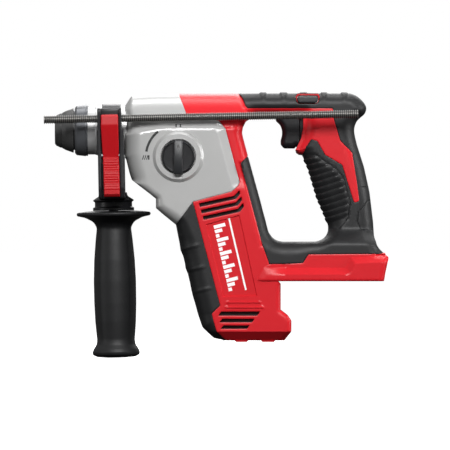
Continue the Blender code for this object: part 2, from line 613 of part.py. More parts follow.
def shuttle_opening():
    """Slot through the top bar that the direction shuttle slides in."""
    outline = [(166.6, 25), (168.6, 23.2), (183, 23.2), (185.2, 24.8), (186, 27), (184.8, 30.6),
               (168, 30.6), (166.6, 28.6)]
    return side_plate("shuttle_slot", outline, -30, 30)


def make_controls():
    """Trigger, its spring and switch, the direction shuttle and the battery terminals."""
    side_plate("trigger", TRIGGER_OUTLINE, -9, 9, "black_plastic", None, 1.5, 1.5)
    coil("trigger_spring", 3, 0.4, 179.9, 186.3, 3, None)
    block("trigger_switch", (186.7, -9.5, -13), (210, 9.5, 14), "black_plastic")
    outline = [(167.9, 25.5), (169.2, 23.9), (182.6, 23.9), (184.2, 25.2), (185, 27), (184.1, 29.9),
               (168.6, 29.9), (167.9, 28.2)]
    side_plate("direction_shuttle", outline, -18.5, 18.5, "black_plastic", None, 0.8, 0.8)
    terminal = block("battery_terminal_block", (166.4, -19.5, -127), (180, 19.5, -119.4), "black_plastic")
    for y in (-14, -5, 5, 14):
        join(terminal, block("blade_contact", (178, y - 0.5, -126), (192, y + 0.5, -121)))


def make_screws(shells):
    """Screws that hold the shells together, driven in from the right side."""
    places = {"housing_screw_top": (134, 26), "housing_screw_rear": (205, 24.5),
              "housing_screw_grip": (225, -98), "housing_screw_foot": (159, -124)}
    for name, (x, z) in places.items():
        screw = solid(name, [(1.8, -10), (2, -9), (2, 10), (3.7, 10), (3.7, 12.5)], "dark_steel",
                      None, "Y", 10, (x, 0, z))
        cut(screw, rod("drive", 1.6, 11.4, 14, axis="Y", sides=6, centre=(x, 0, z)))
        for shell in shells:
            hole = solid("screw_hole", [(2.3, -11), (2.3, 9.6), (4.2, 9.6), (4.2, 45)], None, None,
                         "Y", 10, (x, 0, z))
            cut(shell, hole)


def make_side_handle():
    """Clamp, depth rod with its release lever, bolt and grip. All but the band lean a little."""
    ring("clamp_band", [(23, -2.4), (23, 13.8), (COLLAR_RADIUS + GAP, 13.8),
                        (COLLAR_RADIUS + GAP, -2.4)], "dark_steel", sides=36)
    lean = axis_empty("side_handle_axis", SIDE_HANDLE_X, 0, 0, -HANDLE_LEAN)
    make_clamp_housing(lean)
    solid("depth_rod", [(ROD_RADIUS, ROD_START), (ROD_RADIUS, ROD_END)], "black_plastic", lean,
          sides=12, centre=(0, ROD_Y, ROD_Z))
    make_lever(lean)
    bolt = block("handle_bolt", (-6.5, -6.5, -33.5), (6.5, 6.5, -28.5), "steel", lean)
    join(bolt, in_frame(rod("bolt_shank", 4, -125, -30, axis="Z", sides=16), lean))
    nut = solid("grip_nut", [(7.5, -118), (7.5, -110)], "steel", lean, "Z", 6)
    cut(nut, in_frame(rod("nut_bore", 4.3, -120, -100, axis="Z", sides=16), lean))
    grip = solid("handle_grip", [(17.5, -70.3), (31, -71), (32, -73.2), (20, -77.5), (15.2, -83),
                                 (17.6, -112.7), (18.3, -140), (16.9, -180), (20.4, -187),
                                 (20.4, -194), (15, -197.6)], "black_rubber", lean, "Z", 20)
    cut(grip, in_frame(rod("grip_bore", 4.4, -130, -60, axis="Z", sides=16), lean),
        in_frame(rod("nut_pocket", 7.9, -118.4, -60, axis="Z", sides=6), lean))


def in_frame(tool, parent):
    """Give a cutter the same leaning frame as the piece it cuts."""
    tool.parent = parent
    return tool


def make_clamp_housing(lean):
    """Plastic frame around the band: carries the rod, the lever and the top of the grip."""
    saddle = [(-46, 19.3), (-35, 19.3), (-32, 12), (-27, 2), (-23, -3), (0, -10), (24, -5), (28, -10),
              (28, -34), (18, -56), (-18, -60), (-40, -58), (-46, -52)]
    housing = end_plate("clamp_housing", saddle, -11.8, 10.4, "black_plastic", lean)
    flare = solid("flare", [(13, -50), (15, -57), (17.8, -61), (16.1, -62.2), (16.1, -66.6),
                            (17.8, -66.6), (17.8, -69.8)], None, lean, "Z", 24)
    join(housing, flare)
    band_space = rod("band_space", 23 + GAP, -30, 40, sides=36)
    lever_channel = block("lever_channel", (-9.8, -60, -59.5), (6.6, -39.2, 0), None, lean)
    lever_top = block("lever_top_channel", (-9.8, -60, -1), (6.6, -43.4, 25), None, lean)
    claw_window = block("claw_window", (-6.5, -60, 4.5), (3.3, -41.3, 15.3), None, lean)
    rod_hole = rod("rod_hole", ROD_RADIUS + 0.4, -30, 30, None, lean, centre=(0, ROD_Y, ROD_Z), sides=16)
    spring_pocket = rod("spring_pocket", 3.4, -42, -33, None, lean, "Y", 16, (-1.6, 0, -47))
    bolt_bore = rod("bolt_bore", 4.4, -80, -20, None, lean, "Z", 16)
    head_pocket = block("head_pocket", (-7, -7, -34), (7, 7, -15), None, lean)
    pin_bore = rod("pin_bore", 1.6, -10.8, 9.4, None, lean, "X", 12, (0, LEVER_PIN_Y, LEVER_PIN_Z))
    cut(housing, band_space, lever_channel, lever_top, claw_window, rod_hole, spring_pocket,
        bolt_bore, head_pocket, pin_bore)


def make_lever(lean):
    """Release lever of the depth rod, its pin and its spring."""
    outline = [(-43.8, 14.3), (-46.5, 14.3), (-48.6, 8), (-48.2, -10), (-47.6, -23), (-48.4, -40),
               (-48.8, -54), (-47.5, -57.9), (-45, -57.9), (-44.4, -54), (-44.4, -30), (-41.4, -26),
               (-41.4, -18), (-43.8, -14)]
    lever = end_plate("rod_release_lever", outline, -9.4, 6.2, "red", lean)
    join(lever, block("claw", (-5.8, -45, 6.5), (2.6, -42.1, 13.3), None, lean))
    cut(lever, rod("lever_bore", 1.6, -20, 20, None, lean, "X", 12, (0, LEVER_PIN_Y, LEVER_PIN_Z)))
    rod("lever_pin", 1.3, -10.5, 9.1, "steel", lean, "X", 12, (0, LEVER_PIN_Y, LEVER_PIN_Z))
    coil("lever_spring", 2.3, 0.4, -44, -33.4, 4, lean, "Y", (-1.6, 0, -47))


def main():
    clear_scene()
    spindle_axis = axis_empty("spindle_axis", 0, 0, 0)
    make_chuck(spindle_axis)
    make_spindle(spindle_axis)
    make_piston()
    make_intermediate_shaft()
    make_motor()
    make_gear_case()
    make_mode_selector()
    shells = [make_half(-1), make_half(1)]
    make_controls()
    make_screws(shells)
    make_side_handle()


main()
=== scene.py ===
"""Looks of the rotary hammer: fine shells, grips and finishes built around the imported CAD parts.

Outlines are (x, z) points in millimetres in the CAD frame: X runs from the chuck to the rear
handle, Z is up, and the origin is on the spindle axis. A panel is one side of a shell: an outline
and a face rule. A face rule takes (x, z, side) and gives the distance from the middle plane, where
side is -1 on the mode knob's side and 1 on the other. A third number in a corner is its rounding.
"""

import json
from math import atan2, ceil, cos, hypot, pi, radians, sin, tan, tau

import bpy
import numpy as np
from mathutils import Matrix, Vector, geometry, kdtree


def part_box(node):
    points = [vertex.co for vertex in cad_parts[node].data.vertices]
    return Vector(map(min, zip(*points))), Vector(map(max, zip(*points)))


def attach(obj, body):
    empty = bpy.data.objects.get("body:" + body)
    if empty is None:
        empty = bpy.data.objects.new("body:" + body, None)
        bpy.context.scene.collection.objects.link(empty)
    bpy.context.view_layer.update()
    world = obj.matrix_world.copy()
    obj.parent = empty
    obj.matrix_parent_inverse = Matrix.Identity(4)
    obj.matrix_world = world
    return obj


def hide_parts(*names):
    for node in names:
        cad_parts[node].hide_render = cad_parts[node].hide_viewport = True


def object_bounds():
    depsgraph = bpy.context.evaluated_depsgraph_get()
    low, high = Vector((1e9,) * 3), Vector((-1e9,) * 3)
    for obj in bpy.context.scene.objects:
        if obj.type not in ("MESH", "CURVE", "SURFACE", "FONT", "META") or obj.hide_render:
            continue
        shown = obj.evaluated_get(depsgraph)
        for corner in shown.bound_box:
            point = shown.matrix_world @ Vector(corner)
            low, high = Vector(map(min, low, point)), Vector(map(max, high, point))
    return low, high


MM = 0.001
PART_GAP = 0.15              # half the gap between the two shell halves
SHELL = 1.7                  # wall of the visible shells
LIP = 3.0                    # how far a shell reaches under its neighbour's face
EDGE = 0.5                   # rounding of every moulded edge

# Widths of the tool, as half widths from the middle plane
BODY_WIDTH = 34.5
HANDLE_WIDTH = 17.0
FOOT_WIDTH = 36.0
FOOT_NECK_WIDTH = 31.0
LEG_WIDTH = 34.0
MOUTH_WIDTH = 12.6           # red inset beside the trigger
MOUTH_FLOOR = 9.9            # the shells' walls stop here beside the trigger
TRIGGER_WIDTH = 9.0
STEM_WIDTH = 2.7             # the trigger's stem, which runs between the shells
STEM_START = 169.3
BUTTON_WIDTH = 18.3
GUIDE_WIDTH = 14.2           # red guide around the direction button
SCREW_SEAT = 9.0
SCREW_RECESS = 4.2           # radius of the holes over the screws

# Heights and depths of the faces
BARREL = ((17.0, 21.7, 23.5, 35.0, 64.0), (21.4, 28.2, 30.0, 31.0, 32.0))
SHOULDER_Z = 6.5             # the flat sides start below this height
SHOULDER_DROP = 5.6
PANEL_DIP = 2.0              # step down from the flat side beside the red housing's upper edge
NAMEPLATE_DEPTH = 1.2
SPLIT_Z = -174.5             # the sides slope in below this height
SPLIT_RUN = 7.8
FOOT_Z = -131.0

FRONT_EDGE = [(17.5, 40), (17.5, -24), (18.5, -25), (21.5, -37), (23.5, -43)]
MOTOR_EDGE = [(61.8, -82), (63.5, -90.9, 3), (64.9, -97.9, 1), (65.8, -104, 1), (68, -109.2, 2),
              (69.5, -115.3, 2), (70.1, -119.6, 1), (72.2, -124.8, 2), (74, -132.7, 2), (75.2, -138.8, 1),
              (76.7, -144.9, 2), (78.3, -150), (80.9, -159.6), (84.8, -171, 8), (94.8, -180.5, 6),
              (105.2, -182.4)]
MOTOR_SEAM = [(76.6, -62.2), (78.5, -69), (100.3, -152, 1), (92.8, -159, 1.5), (95.5, -169), (97.3, -174.5),
              (105.2, -182.4)]
LOWER_FRONT_EDGE = [(23.5, -43), (30.5, -48.5), (39, -55), (44.5, -59.5), (44.5, -67.5), (49.5, -72),
                    *MOTOR_EDGE]
CASE_SEAM = [(64, 32), (71, 14), (99, 8, 4), (104.7, 1.6, 4), (107.2, -8), (114.2, -34.5), (117.2, -45, 2),
             (115.8, -48.2, 2), (110.2, -53.2, 2), (76.6, -62.2)]
CASE = [(17.5, 21.2), (21.7, 28.1, 2), (23.5, 29.9, 1), (35, 31), *CASE_SEAM, (61.8, -82), (49.5, -72),
        (44.5, -67.5, 1), (44.5, -59.5, 1), (39, -55), (30.5, -48.5), (23.5, -43, 3), (21.5, -37),
        (18.5, -25), (17.5, -24)]
BODY = [(64, 32), (116.6, 32, 1), (119.7, 28.3, 2), (122, 21.3, 1), (123.9, 19.1, 1), (123.9, 10.5, 4),
        (120.1, 3, 6), (119.2, -2.2, 6), (120.1, -6.5), (124.3, -22.1, 1), (118, -28.7, 1),
        (136.8, -99.6, 3), (142.8, -116.2), (142.8, -119), (146, -124), (148, -128), (152.7, -133, 1),
        (152.7, -155.7, 1), (159, -160.5, 2), (162, -165, 2), (162, -174.5, 2), (156, -182.4, 1),
        (148, -182.4, 0.3), (146.8, -183.7, 0.5), (136.8, -183.7, 0.5), (135.7, -182.4, 0.3),
        (124.6, -182.4, 0.3), (123.4, -183.7, 0.5), (114, -183.7, 0.5), (112.8, -182.4, 0.3),
        *reversed(MOTOR_SEAM[1:]), *reversed(CASE_SEAM[1:])]
MOTOR_FRONT = [*MOTOR_EDGE, *reversed(MOTOR_SEAM[:-1])]
OPENING_FRONT = [(120.1, 3), (119.2, -2.2), (120.1, -6.5), (124.3, -22.1)]
BARREL_END = [(116.6, 32.5), (119.7, 28.3), (122, 21.3), (124.2, 19.1), (124.2, 8)]
LEG_EDGE = [(117.9, -28.7), (136.5, -99.6)]
HEEL_EDGE = [(152.7, -133), (152.7, -155.7), (159, -160.5), (162, -165), (162, -174.5), (156, -182.3)]
FOOT = [(133.6, -126, 1), (137.8, -118.8, 1), (142.8, -116.2), (171.9, -115.2, 1), (176.9, -107.7, 1),
        (243, -107.2, 1), (246.4, -110, 2), (243.6, -123, 2), (242.3, FOOT_Z, 1), (131.5, FOOT_Z)]
FOOT_WIDE = [(137.8, -119.2), (208.8, -119.2, 2), (213.2, -110, 2), (260, -107.6), (260, -140),
             (125, -140), (133, -126)]
FOOT_END = [(236, -107.5), (246.4, -108), (243.6, -123), (242.3, FOOT_Z)]

TOP_BAR = [(116.6, 32), (213.2, 32.2, 12), (217.8, 30.8, 14), (221.9, 27.8, 14), (225.5, 23.9, 14),
           (227.7, 19.5, 8), (226.2, 14.4, 8), (221.9, 10.9, 10), (219, 8.1, 10), (217.2, 3.9, 14),
           (216.6, -0.4, 16), (217.5, -5.7, 16), (219.2, -12.6, 20), (225.3, -31.8, 40),
           (230.1, -53.5, 60), (233.2, -79.6, 40), (234, -92, 16), (237, -101.5, 14), (243, -107.2, 1)]
COVER_FRONT = [(124.3, -22.1, 1), (134.9, -60.5), (142.2, -88.3, 10), (145.3, -92.9, 10), (149.6, -95.7, 10),
               (154.6, -96.6, 10), (183.6, -96.6, 10), (188.8, -94.9, 10), (192.4, -91.8, 9),
               (194.1, -87.4, 10), (194, -82.2, 12), (189.7, -70.9, 20), (184.4, -58.7, 20),
               (176.6, -32.6, 12), (171.4, -21.6, 0.6)]
BLADE_EDGE = [(173, -18.5), (174.9, -14.4, 1), (179.2, -7.8, 2), (184.4, -9.1, 2), (191.4, -21.3, 2),
              (206.2, -30, 3), (216.6, -63.1, 1.5), (221, -61.3, 1.5), (219.2, -47.4), (214.9, -19.6, 2),
              (204.5, -9.1, 3), (199.2, 8.3), (198.4, 17.5, 1), (197.5, 19.1, 0.5)]
COVER = [*TOP_BAR, (176.9, -107.7, 1), (171.9, -115.2, 1), (142.8, -116.2), (136.8, -99.6, 3),
         (118, -28.7, 1), *COVER_FRONT, *BLADE_EDGE, (123.9, 19.1, 1), (122, 21.3, 1), (119.7, 28.3, 2)]
BLADE = [(116, 19.1), *reversed(BLADE_EDGE), (171.4, -21.6, 0.6), (168.6, -21.2, 1), (166.2, -19.6, 1),
         (165.6, -17, 1), (170.5, -7, 8), (172.3, 2.2), (172.3, 13.2, 1), (131.4, 13.2, 6),
         (123.5, 8.3, 6), (116, 3)]
BLADE_RIM = [(171.4, -21.6), (168.6, -21.2), (166.2, -19.6), (165.6, -17), (170.5, -7), (172.3, 2.2),
             (172.3, 13.2), (131.4, 13.2), (123.5, 8.3)]
MOUTH = [(150, 12.6), (187, 12.6), (187, -15.4), (150, -16.6)]
TRIGGER = [(148.5, 12.9, 1), (148.5, 8.3, 3), (152.3, 4.8, 6), (154, 0.4, 10), (154, -3.9, 10),
           (152.7, -9.1, 6), (152.9, -12.6, 3), (155.7, -15.7, 3), (164.8, -15.7, 1), (166, -14.3, 1),
           (179.5, -14.3), (179.5, 12.9)]
BUTTON_WINDOW = [(166.4, 25.2, 1), (168.4, 22.9, 1), (183.2, 22.9, 1), (185.5, 24.7, 1), (186.4, 27, 1),
                 (185, 30.9, 1), (167.8, 30.9, 1), (166.4, 28.6, 1)]

# Grip ribs: they cross the rear grip at right angles to its axis
RIB_AXIS = (0.313, -0.95)
RIB_PITCH = 5.4
RIB_FIRST = 78.0
RIB_COUNT = 11
RIB_HEIGHT = 1.35
RIB_CREST = 0.2              # share of the pitch from a rib's upper edge to its crest
RIB_SCALLOP = 0.9            # how far the ribs push the grip's front edge out
RIB_REACH = 197              # the scallops end behind this x
RIB_ZONE = [(160, -20), (183.5, -20.5), (189.8, -25.5), (201.5, -33.5), (207.5, -41), (212.4, -60),
            (212.4, -73), (203, -84.5), (180, -90)]
GROOVE = 0.45                # half width and depth of the seams in the rubber
GROOVE_DEPTH = 0.5
COVER_GROOVES = [[(236, -52.5), (226, -49), (223, -49)], [(236, -59.5), (228, -61.5), (222, -69.5)],
                 [(220.2, -71), (219.2, -80), (222.8, -86.2), (236, -87)],
                 [(213.5, -62), (211, -77), (203.6, -85.4)]]
BAR_RIDGES = [(134, 141), (151.4, 159.2), (168.8, 176.6), (187, 194), (204.5, 211.5)]
RIDGE_HEIGHT = 1.1
BAR_TOP = 32.25

# Name plate, its plain stripes, and the vents of the motor housing
NAMEPLATE = [(87.8, -81.6, 1), (117, -73.4, 1), (132.4, -143.8, 1), (102.6, -144.6, 1)]
VENT = [(81.8, -63.5, 0.6), (112.2, -57, 1.5), (117, -51.8, 0.6), (117.5, -55.2, 0.6), (114, -59.6, 1.5),
        (82.7, -66.6, 0.6)]
VENT_SHIFT = (1.6, -5.6)
VENT_COUNT = 3
BASE_VENTS = ((-157.2, -160.8), (-163.4, -166.6), (-169.2, -172.2))
BASE_VENT_LEFT, BASE_VENT_RIGHT = 97.6, 134.9
BASE_VENT_LEAN = (0.16, 0.77)      # how fast the vents' left and right ends move with height
BASE_RIDGES = ((-149.2, 105.3, 135.7), (-153.6, 104.4, 138.3))
STRIPES = 15

FOOT_SCREW = "housing_screw_foot"
HANDLE_SCREWS = ("housing_screw_top", "housing_screw_rear", "housing_screw_grip")

# Mode knob and the ring around it
BOSS_RADIUS = 22.2
BOSS_BEVEL = 2.6
BOSS_HEIGHT = 2.8
KNOB_WELL = 15.3
KNOB_FLOOR = BODY_WIDTH - 1.2
NOTCH_DEPTH = 0.9
KNOB_DISC_RADIUS = 14.4
KNOB_BAR = (3.9, -15.4, 14.6)      # half width, bottom and top from the knob's axis
DIAL_RADII = (26.9, 29.0)

# Side handle, in its own upright frame
SIDE_HANDLE_X = 6.2
ROD_Y, ROD_Z = -38.5, 9.95
ROD_START, ROD_END = -58.5, 215.0
ROD_PITCH = 1.75
ROD_ROOT, ROD_TIP = 2.9, 3.55
LEVER_RIB = 2.1              # pitch of the lever's ribs
LEVER_RIBS = 13
LEVER_RIB_HEIGHT = 0.6
LEVER_RIB_START = -24.2
LEVER_BACK = 43.9
LEVER_BACK_AT_PIN = 41.3
GRIP_FACET = radians(45)     # the side grip has eight soft flats
GRIP_FLATTEN = 0.8
BAND_RADIUS = 23.4

# Studio
ROOM_LIGHT = 0.42            # world strength overhead
ROOM_DARK = 0.03             # world strength underneath
SOFTBOXES = (                # name, place and size in metres, power in watts
    ("key", (0.22, -1.4, 0.72), (0.9, 0.5), 27),
    ("top", (0.1, 0.35, 1.2), (1.2, 0.4), 9.5),
    ("rear", (1.25, -0.2, 0.25), (0.25, 0.8), 8),
    ("left", (-1.3, -0.55, 0.0), (0.3, 0.9), 3),
    ("far", (0.3, 1.2, 0.7), (1.1, 0.7), 9),
)
FLOOR_GLOW = 0.8
FLOOR_SIZE = 60.0            # metres
FLOOR_GAP = 0.0005
VIEW_CENTRE = (104.4, -82.2)
VIEW_DISTANCE = 8.0          # metres
VIEW_WIDTH = 0.3915          # metres across the picture at the tool
SENSOR = 36                  # millimetres


# ---------------------------------------------------------------- outlines

def corner(point):
    return Vector(point[:2])


def rounded(loop, closed=True, steps=5):
    """Outline with each corner turned into an arc of its own radius, where it has one."""
    out = []
    last = len(loop) - 1
    for i, point in enumerate(loop):
        here = corner(point)
        radius = point[2] if len(point) > 2 else 0
        if not radius or (not closed and i in (0, last)):
            out.append(tuple(here))
            continue
        back = corner(loop[i - 1]) - here
        ahead = corner(loop[(i + 1) % len(loop)]) - here
        half = back.angle(ahead) / 2
        reach = min(radius / tan(half), 0.48 * back.length, 0.48 * ahead.length)
        start = here + back.normalized() * reach
        end = here + ahead.normalized() * reach
        for k in range(steps + 1):
            t = k / steps
            out.append(tuple(start * (1 - t) ** 2 + here * (2 * t * (1 - t)) + end * t * t))
    return out


def segments(loop, closed=True):
    """Start and end points of an outline's straight pieces."""
    points = np.array([p[:2] for p in loop], float)
    if closed:
        return points, np.roll(points, -1, axis=0)
    return points[:-1], points[1:]


def distance(x, z, loop, closed=True):
    """Distance from each point to an outline."""
    best = np.full(np.shape(x), 1e9)
    for (ax, az), (bx, bz) in zip(*segments(loop, closed)):
        dx, dz = bx - ax, bz - az
        t = np.clip(((x - ax) * dx + (z - az) * dz) / max(dx * dx + dz * dz, 1e-9), 0, 1)
        best = np.minimum(best, np.hypot(x - ax - t * dx, z - az - t * dz))
    return best


def inside(x, z, loop):
    """Which points lie inside an outline."""
    hit = np.zeros(np.shape(x), bool)
    for (ax, az), (bx, bz) in zip(*segments(loop)):
        if az != bz:
            crosses = (az > z) != (bz > z)
            hit ^= crosses & (x < (bx - ax) * (z - az) / (bz - az) + ax)
    return hit


def depth_in(x, z, loop):
    """Distance to an outline, positive inside it."""
    return np.where(inside(x, z, loop), 1, -1) * distance(x, z, loop)


def resample(loop, step, closed=True):
    """Points along an outline, no further apart than step."""
    points = []
    starts, ends = segments(loop, closed)
    for a, b in zip(starts, ends):
        count = max(1, ceil(np.hypot(*(b - a)) / step))
        points += [a + (b - a) * k / count for k in range(count)]
    if not closed:
        points.append(ends[-1])
    return np.array(points)


def area(loop):
    a, b = segments(loop)
    return float(np.sum(a[:, 0] * b[:, 1] - b[:, 0] * a[:, 1])) / 2


def inset(loop, gap):
    """Outline moved inwards by gap."""
    side = 1 if area(loop) > 0 else -1
    out = []
    for i, point in enumerate(loop):
        here = corner(point)
        before = (here - corner(loop[i - 1])).normalized()
        after = (corner(loop[(i + 1) % len(loop)]) - here).normalized()
        first = Vector((-before.y, before.x)) * side
        second = Vector((-after.y, after.x)) * side
        middle = (first + second).normalized()
        out.append(tuple(here + middle * gap / max(middle.dot(first), 0.4)) + tuple(point[2:]))
    return out


def circle(x, z, radius, count=40):
    return [(x + radius * cos(tau * i / count), z + radius * sin(tau * i / count)) for i in range(count)]


def shifted(loop, dx, dz):
    return [(p[0] + dx, p[1] + dz) + tuple(p[2:]) for p in loop]


# ---------------------------------------------------------------- face rules

def ramp(value):
    return np.clip(value, 0, 1)


def soft(value):
    t = np.clip(value, 0, 1)
    return t * t * (3 - 2 * t)


def fall(gap, reach, depth):
    """How far a face has fallen at a distance gap from an edge that is rounded as an ellipse."""
    t = np.clip(1 - gap / reach, 0, 1)
    return depth * (1 - np.sqrt(np.maximum(1 - t * t, 0)))


def barrel(x, z):
    radius = np.interp(x, *BARREL)
    return np.sqrt(np.maximum(radius ** 2 - np.maximum(z, 0) ** 2, 0))


def tool_width(x, z):
    """Half width of the body: a round barrel above flat sides, with a sloping shoulder between."""
    top = np.interp(x, (22, 50), (1.5, SHOULDER_Z))
    shoulder = barrel(x, top)
    slope = shoulder + (BODY_WIDTH - shoulder) * ramp((top - z) / SHOULDER_DROP)
    return np.where(z > top, barrel(x, z), slope)


def front_fall(x, z):
    """Rounding of the body's front: wide on the gear case's nose and on the motor, tight between."""
    nose = fall(distance(x, z, FRONT_EDGE, False), 14, 15) * ramp((18 - z) / 12)
    reach = np.interp(z, (-178, -160, -95, -72, -55), (10, 15, 15, 9, 5))
    lower = fall(distance(x, z, LOWER_RIM, False), reach, reach * 1.1)
    return np.maximum(nose, lower * ramp((-38 - z) / 6))


def gear_case_face(x, z, side):
    width = tool_width(x, z) - front_fall(x, z)
    seam = distance(x, z, CASE_SEAM[2:7], False)
    width = width - PANEL_DIP * ramp(1 - seam / 7) * ramp((SHOULDER_Z - z) / 3)
    if side > 0:
        return width
    radius = np.hypot(x - KNOB.x, z - KNOB.z)
    boss = BODY_WIDTH + BOSS_HEIGHT * ramp((BOSS_RADIUS - radius) / BOSS_BEVEL)
    boss = np.where(inside(x, z, BOSS_NOTCH), boss - NOTCH_DEPTH, boss)
    ring = np.where(radius < BOSS_RADIUS, np.maximum(boss, width), width)
    return np.where(radius < KNOB_WELL, KNOB_FLOOR, ring)


def body_face(x, z, side):
    width = tool_width(x, z) - PANEL_DIP * soft((z + 52) / 12) * ramp((SHOULDER_Z - z) / 3)
    for edge, reach, depth in ((OPENING_FRONT, 9, 11), (BARREL_END, 5, 6), (LEG_EDGE, 3, 1.5)):
        width = width - fall(distance(x, z, edge, False), reach, depth)
    width = width - NAMEPLATE_DEPTH * ramp(depth_in(x, z, NAMEPLATE) / 0.7)
    for height, start, end in BASE_RIDGES:
        along = ramp((x - start) / 1.5) * ramp((end - x) / 1.5)
        width = width + 0.8 * along * ramp(1.6 - np.abs(z - height) / 0.6)
    width = width - fall(distance(x, z, HEEL_EDGE, False), 4, 4)
    return width - 8.5 * ramp((SPLIT_Z - z) / SPLIT_RUN)


def motor_front_face(x, z, side):
    width = BODY_WIDTH - 0.3 - front_fall(x, z)
    for middle in (-101, -121, -141):
        bead = np.abs(z - middle - 0.26 * (x - 75))
        width = width + 0.7 * ramp(1.4 - bead / 1.4) * ramp((84 + (-100 - z) * 0.26 - x) / 8)
    return width - 7 * ramp((SPLIT_Z - z) / SPLIT_RUN)


def foot_face(x, z, side):
    neck = np.interp(x, (143, 157), (BODY_WIDTH + 0.3, FOOT_NECK_WIDTH))
    step = (FOOT_WIDTH - neck) * ramp(depth_in(x, z, FOOT_WIDE) / 6)
    rim = fall(distance(x, z, FOOT_END, False), 5, 5)
    return neck + step - rim - fall(z - FOOT_Z, 1.6, 1.6)


def rib_wave(x, z):
    """Row of rounded ribs along the grip's axis, from 0 in a valley to 1 on a crest."""
    row = (x * RIB_AXIS[0] + z * RIB_AXIS[1] - RIB_FIRST) / RIB_PITCH
    phase = row - np.floor(row)
    wave = np.where(phase < RIB_CREST, np.sin(pi / 2 * phase / RIB_CREST),
                    np.cos(pi / 2 * (phase - RIB_CREST) / (1 - RIB_CREST)))
    return np.where((row > 0) & (row < RIB_COUNT), wave, 0)


def handle_face(x, z, side):
    edge = distance(x, z, HANDLE_RIM, False)
    front = distance(x, z, rounded(COVER_FRONT, False), False)
    edge = np.minimum(edge, np.where(x > 120, front, 99))
    edge = np.minimum(edge, distance(x, z, BLADE_RIM, False))
    leg = np.where(z < -75, soft((184 - x) / 20), x < 150) * (z < -15)
    wide = np.interp(x, (142, 186, 240), (LEG_WIDTH, 29, 30.5))
    base = HANDLE_WIDTH + (wide - HANDLE_WIDTH) * np.maximum(leg, soft((-84 - z) / 16))
    reach = np.interp(z, (-100, -85, 5, 15), (9, 13, 13, 10))
    depth = np.interp(z, (-100, -85, 5, 15), (9, 13.5, 13.5, 13))
    return base - fall(edge, reach + (12 - reach) * leg, depth + (12 - depth) * leg)


def cover_face(x, z, side):
    rim_width = HANDLE_WIDTH - 13.4
    width = np.where(inside(x, z, COVER_LOOP), handle_face(x, z, side), rim_width)
    zone = depth_in(x, z, RIB_ZONE)
    width = width - 0.5 * soft((zone + 0.3) / 0.8)
    width = width + RIB_HEIGHT * rib_wave(x, z) * soft(zone / 4)
    for line in COVER_GROOVES:
        width = width - GROOVE_DEPTH * ramp(1 - distance(x, z, line, False) / GROOVE)
    return width


def blade_face(x, z, side):
    """The red inset stays wide around the mouth that the trigger slides in."""
    around_mouth = ramp((180 - x) / 5) * ramp((z + 18.6) / 1.2) * (x > 150)
    return np.maximum(handle_face(x, z, side) + 0.3, MOUTH_WIDTH * around_mouth)


def trigger_face(x, z):
    """Half width of the trigger, which is rounded everywhere but at its hidden rear end."""
    edge = distance(x, z, rounded(TRIGGER)[:-2], False)
    return np.where(x > STEM_START, STEM_WIDTH, TRIGGER_WIDTH - fall(edge, 5, 6))


def button_face(x, z):
    return BUTTON_WIDTH - fall(distance(x, z, BUTTON_LOOP), 1, 0.8)


# ---------------------------------------------------------------- mesh of a panel

def nearest(points):
    """Search tree over points."""
    tree = kdtree.KDTree(len(points))
    for i, point in enumerate(points):
        tree.insert((point[0], point[1], 0), i)
    tree.balance()
    return tree


def plan_points(loops, lines, step, rings, extra):
    """Points and fixed edges for a panel's triangles: rims, feature lines, edge rings and a grid."""
    points, edges = [], []

    def chain(samples, closed):
        start = len(points)
        points.extend(tuple(p) for p in samples)
        last = len(samples)
        edges.extend((start + i, start + (i + 1) % last) for i in range(last if closed else last - 1))

    rims = [resample(loop, step) for loop in loops]
    for rim in rims:
        chain(rim, True)

    def clear(x, z, gap):
        ok = inside(x, z, loops[0])
        for hole in loops[1:]:
            ok &= ~inside(x, z, hole)
        for loop in loops:
            ok &= distance(x, z, loop) > gap
        return ok

    for line, closed in lines:
        samples = resample(line, step, closed)
        if closed:
            samples = np.vstack([samples, samples[:1]])
        keep = clear(samples[:, 0], samples[:, 1], 0.25)
        run = []
        for point, good in zip(samples, keep):
            if good:
                run.append(point)
            if run and not good:
                chain(run, False)
                run = []
        if run:
            chain(run, False)

    tree = nearest(points)
    loose = []
    for rim in rims:
        before = np.roll(rim, 1, axis=0)
        after = np.roll(rim, -1, axis=0)
        tangent = after - before
        normal = np.stack([-tangent[:, 1], tangent[:, 0]], 1)
        normal /= np.maximum(np.hypot(normal[:, 0], normal[:, 1]), 1e-9)[:, None]
        for ring in rings:
            for sign in (1, -1):
                moved = rim + normal * ring * sign
                good = clear(moved[:, 0], moved[:, 1], ring * 0.93)
                loose.append((moved[good], min(0.3, ring * 0.8)))
    loose.append((np.array(extra).reshape(-1, 2), 0.3))
    low = np.min(rims[0], axis=0)
    high = np.max(rims[0], axis=0)
    columns = np.arange(low[0], high[0], step)
    rows = np.arange(low[1], high[1], step * 0.87)
    gx, gz = np.meshgrid(columns, rows)
    gx[1::2] += step / 2
    loose.append((np.stack([gx.ravel(), gz.ravel()], 1), step * 0.6))
    for group, (cloud, gap) in enumerate(loose):
        if not len(cloud):
            continue
        cloud = cloud[clear(cloud[:, 0], cloud[:, 1], gap)]
        if group == len(loose) - 1:
            tree = nearest(points)
        for point in cloud:
            if tree.find((point[0], point[1], 0))[2] > gap:
                points.append(tuple(point))
    return points, edges


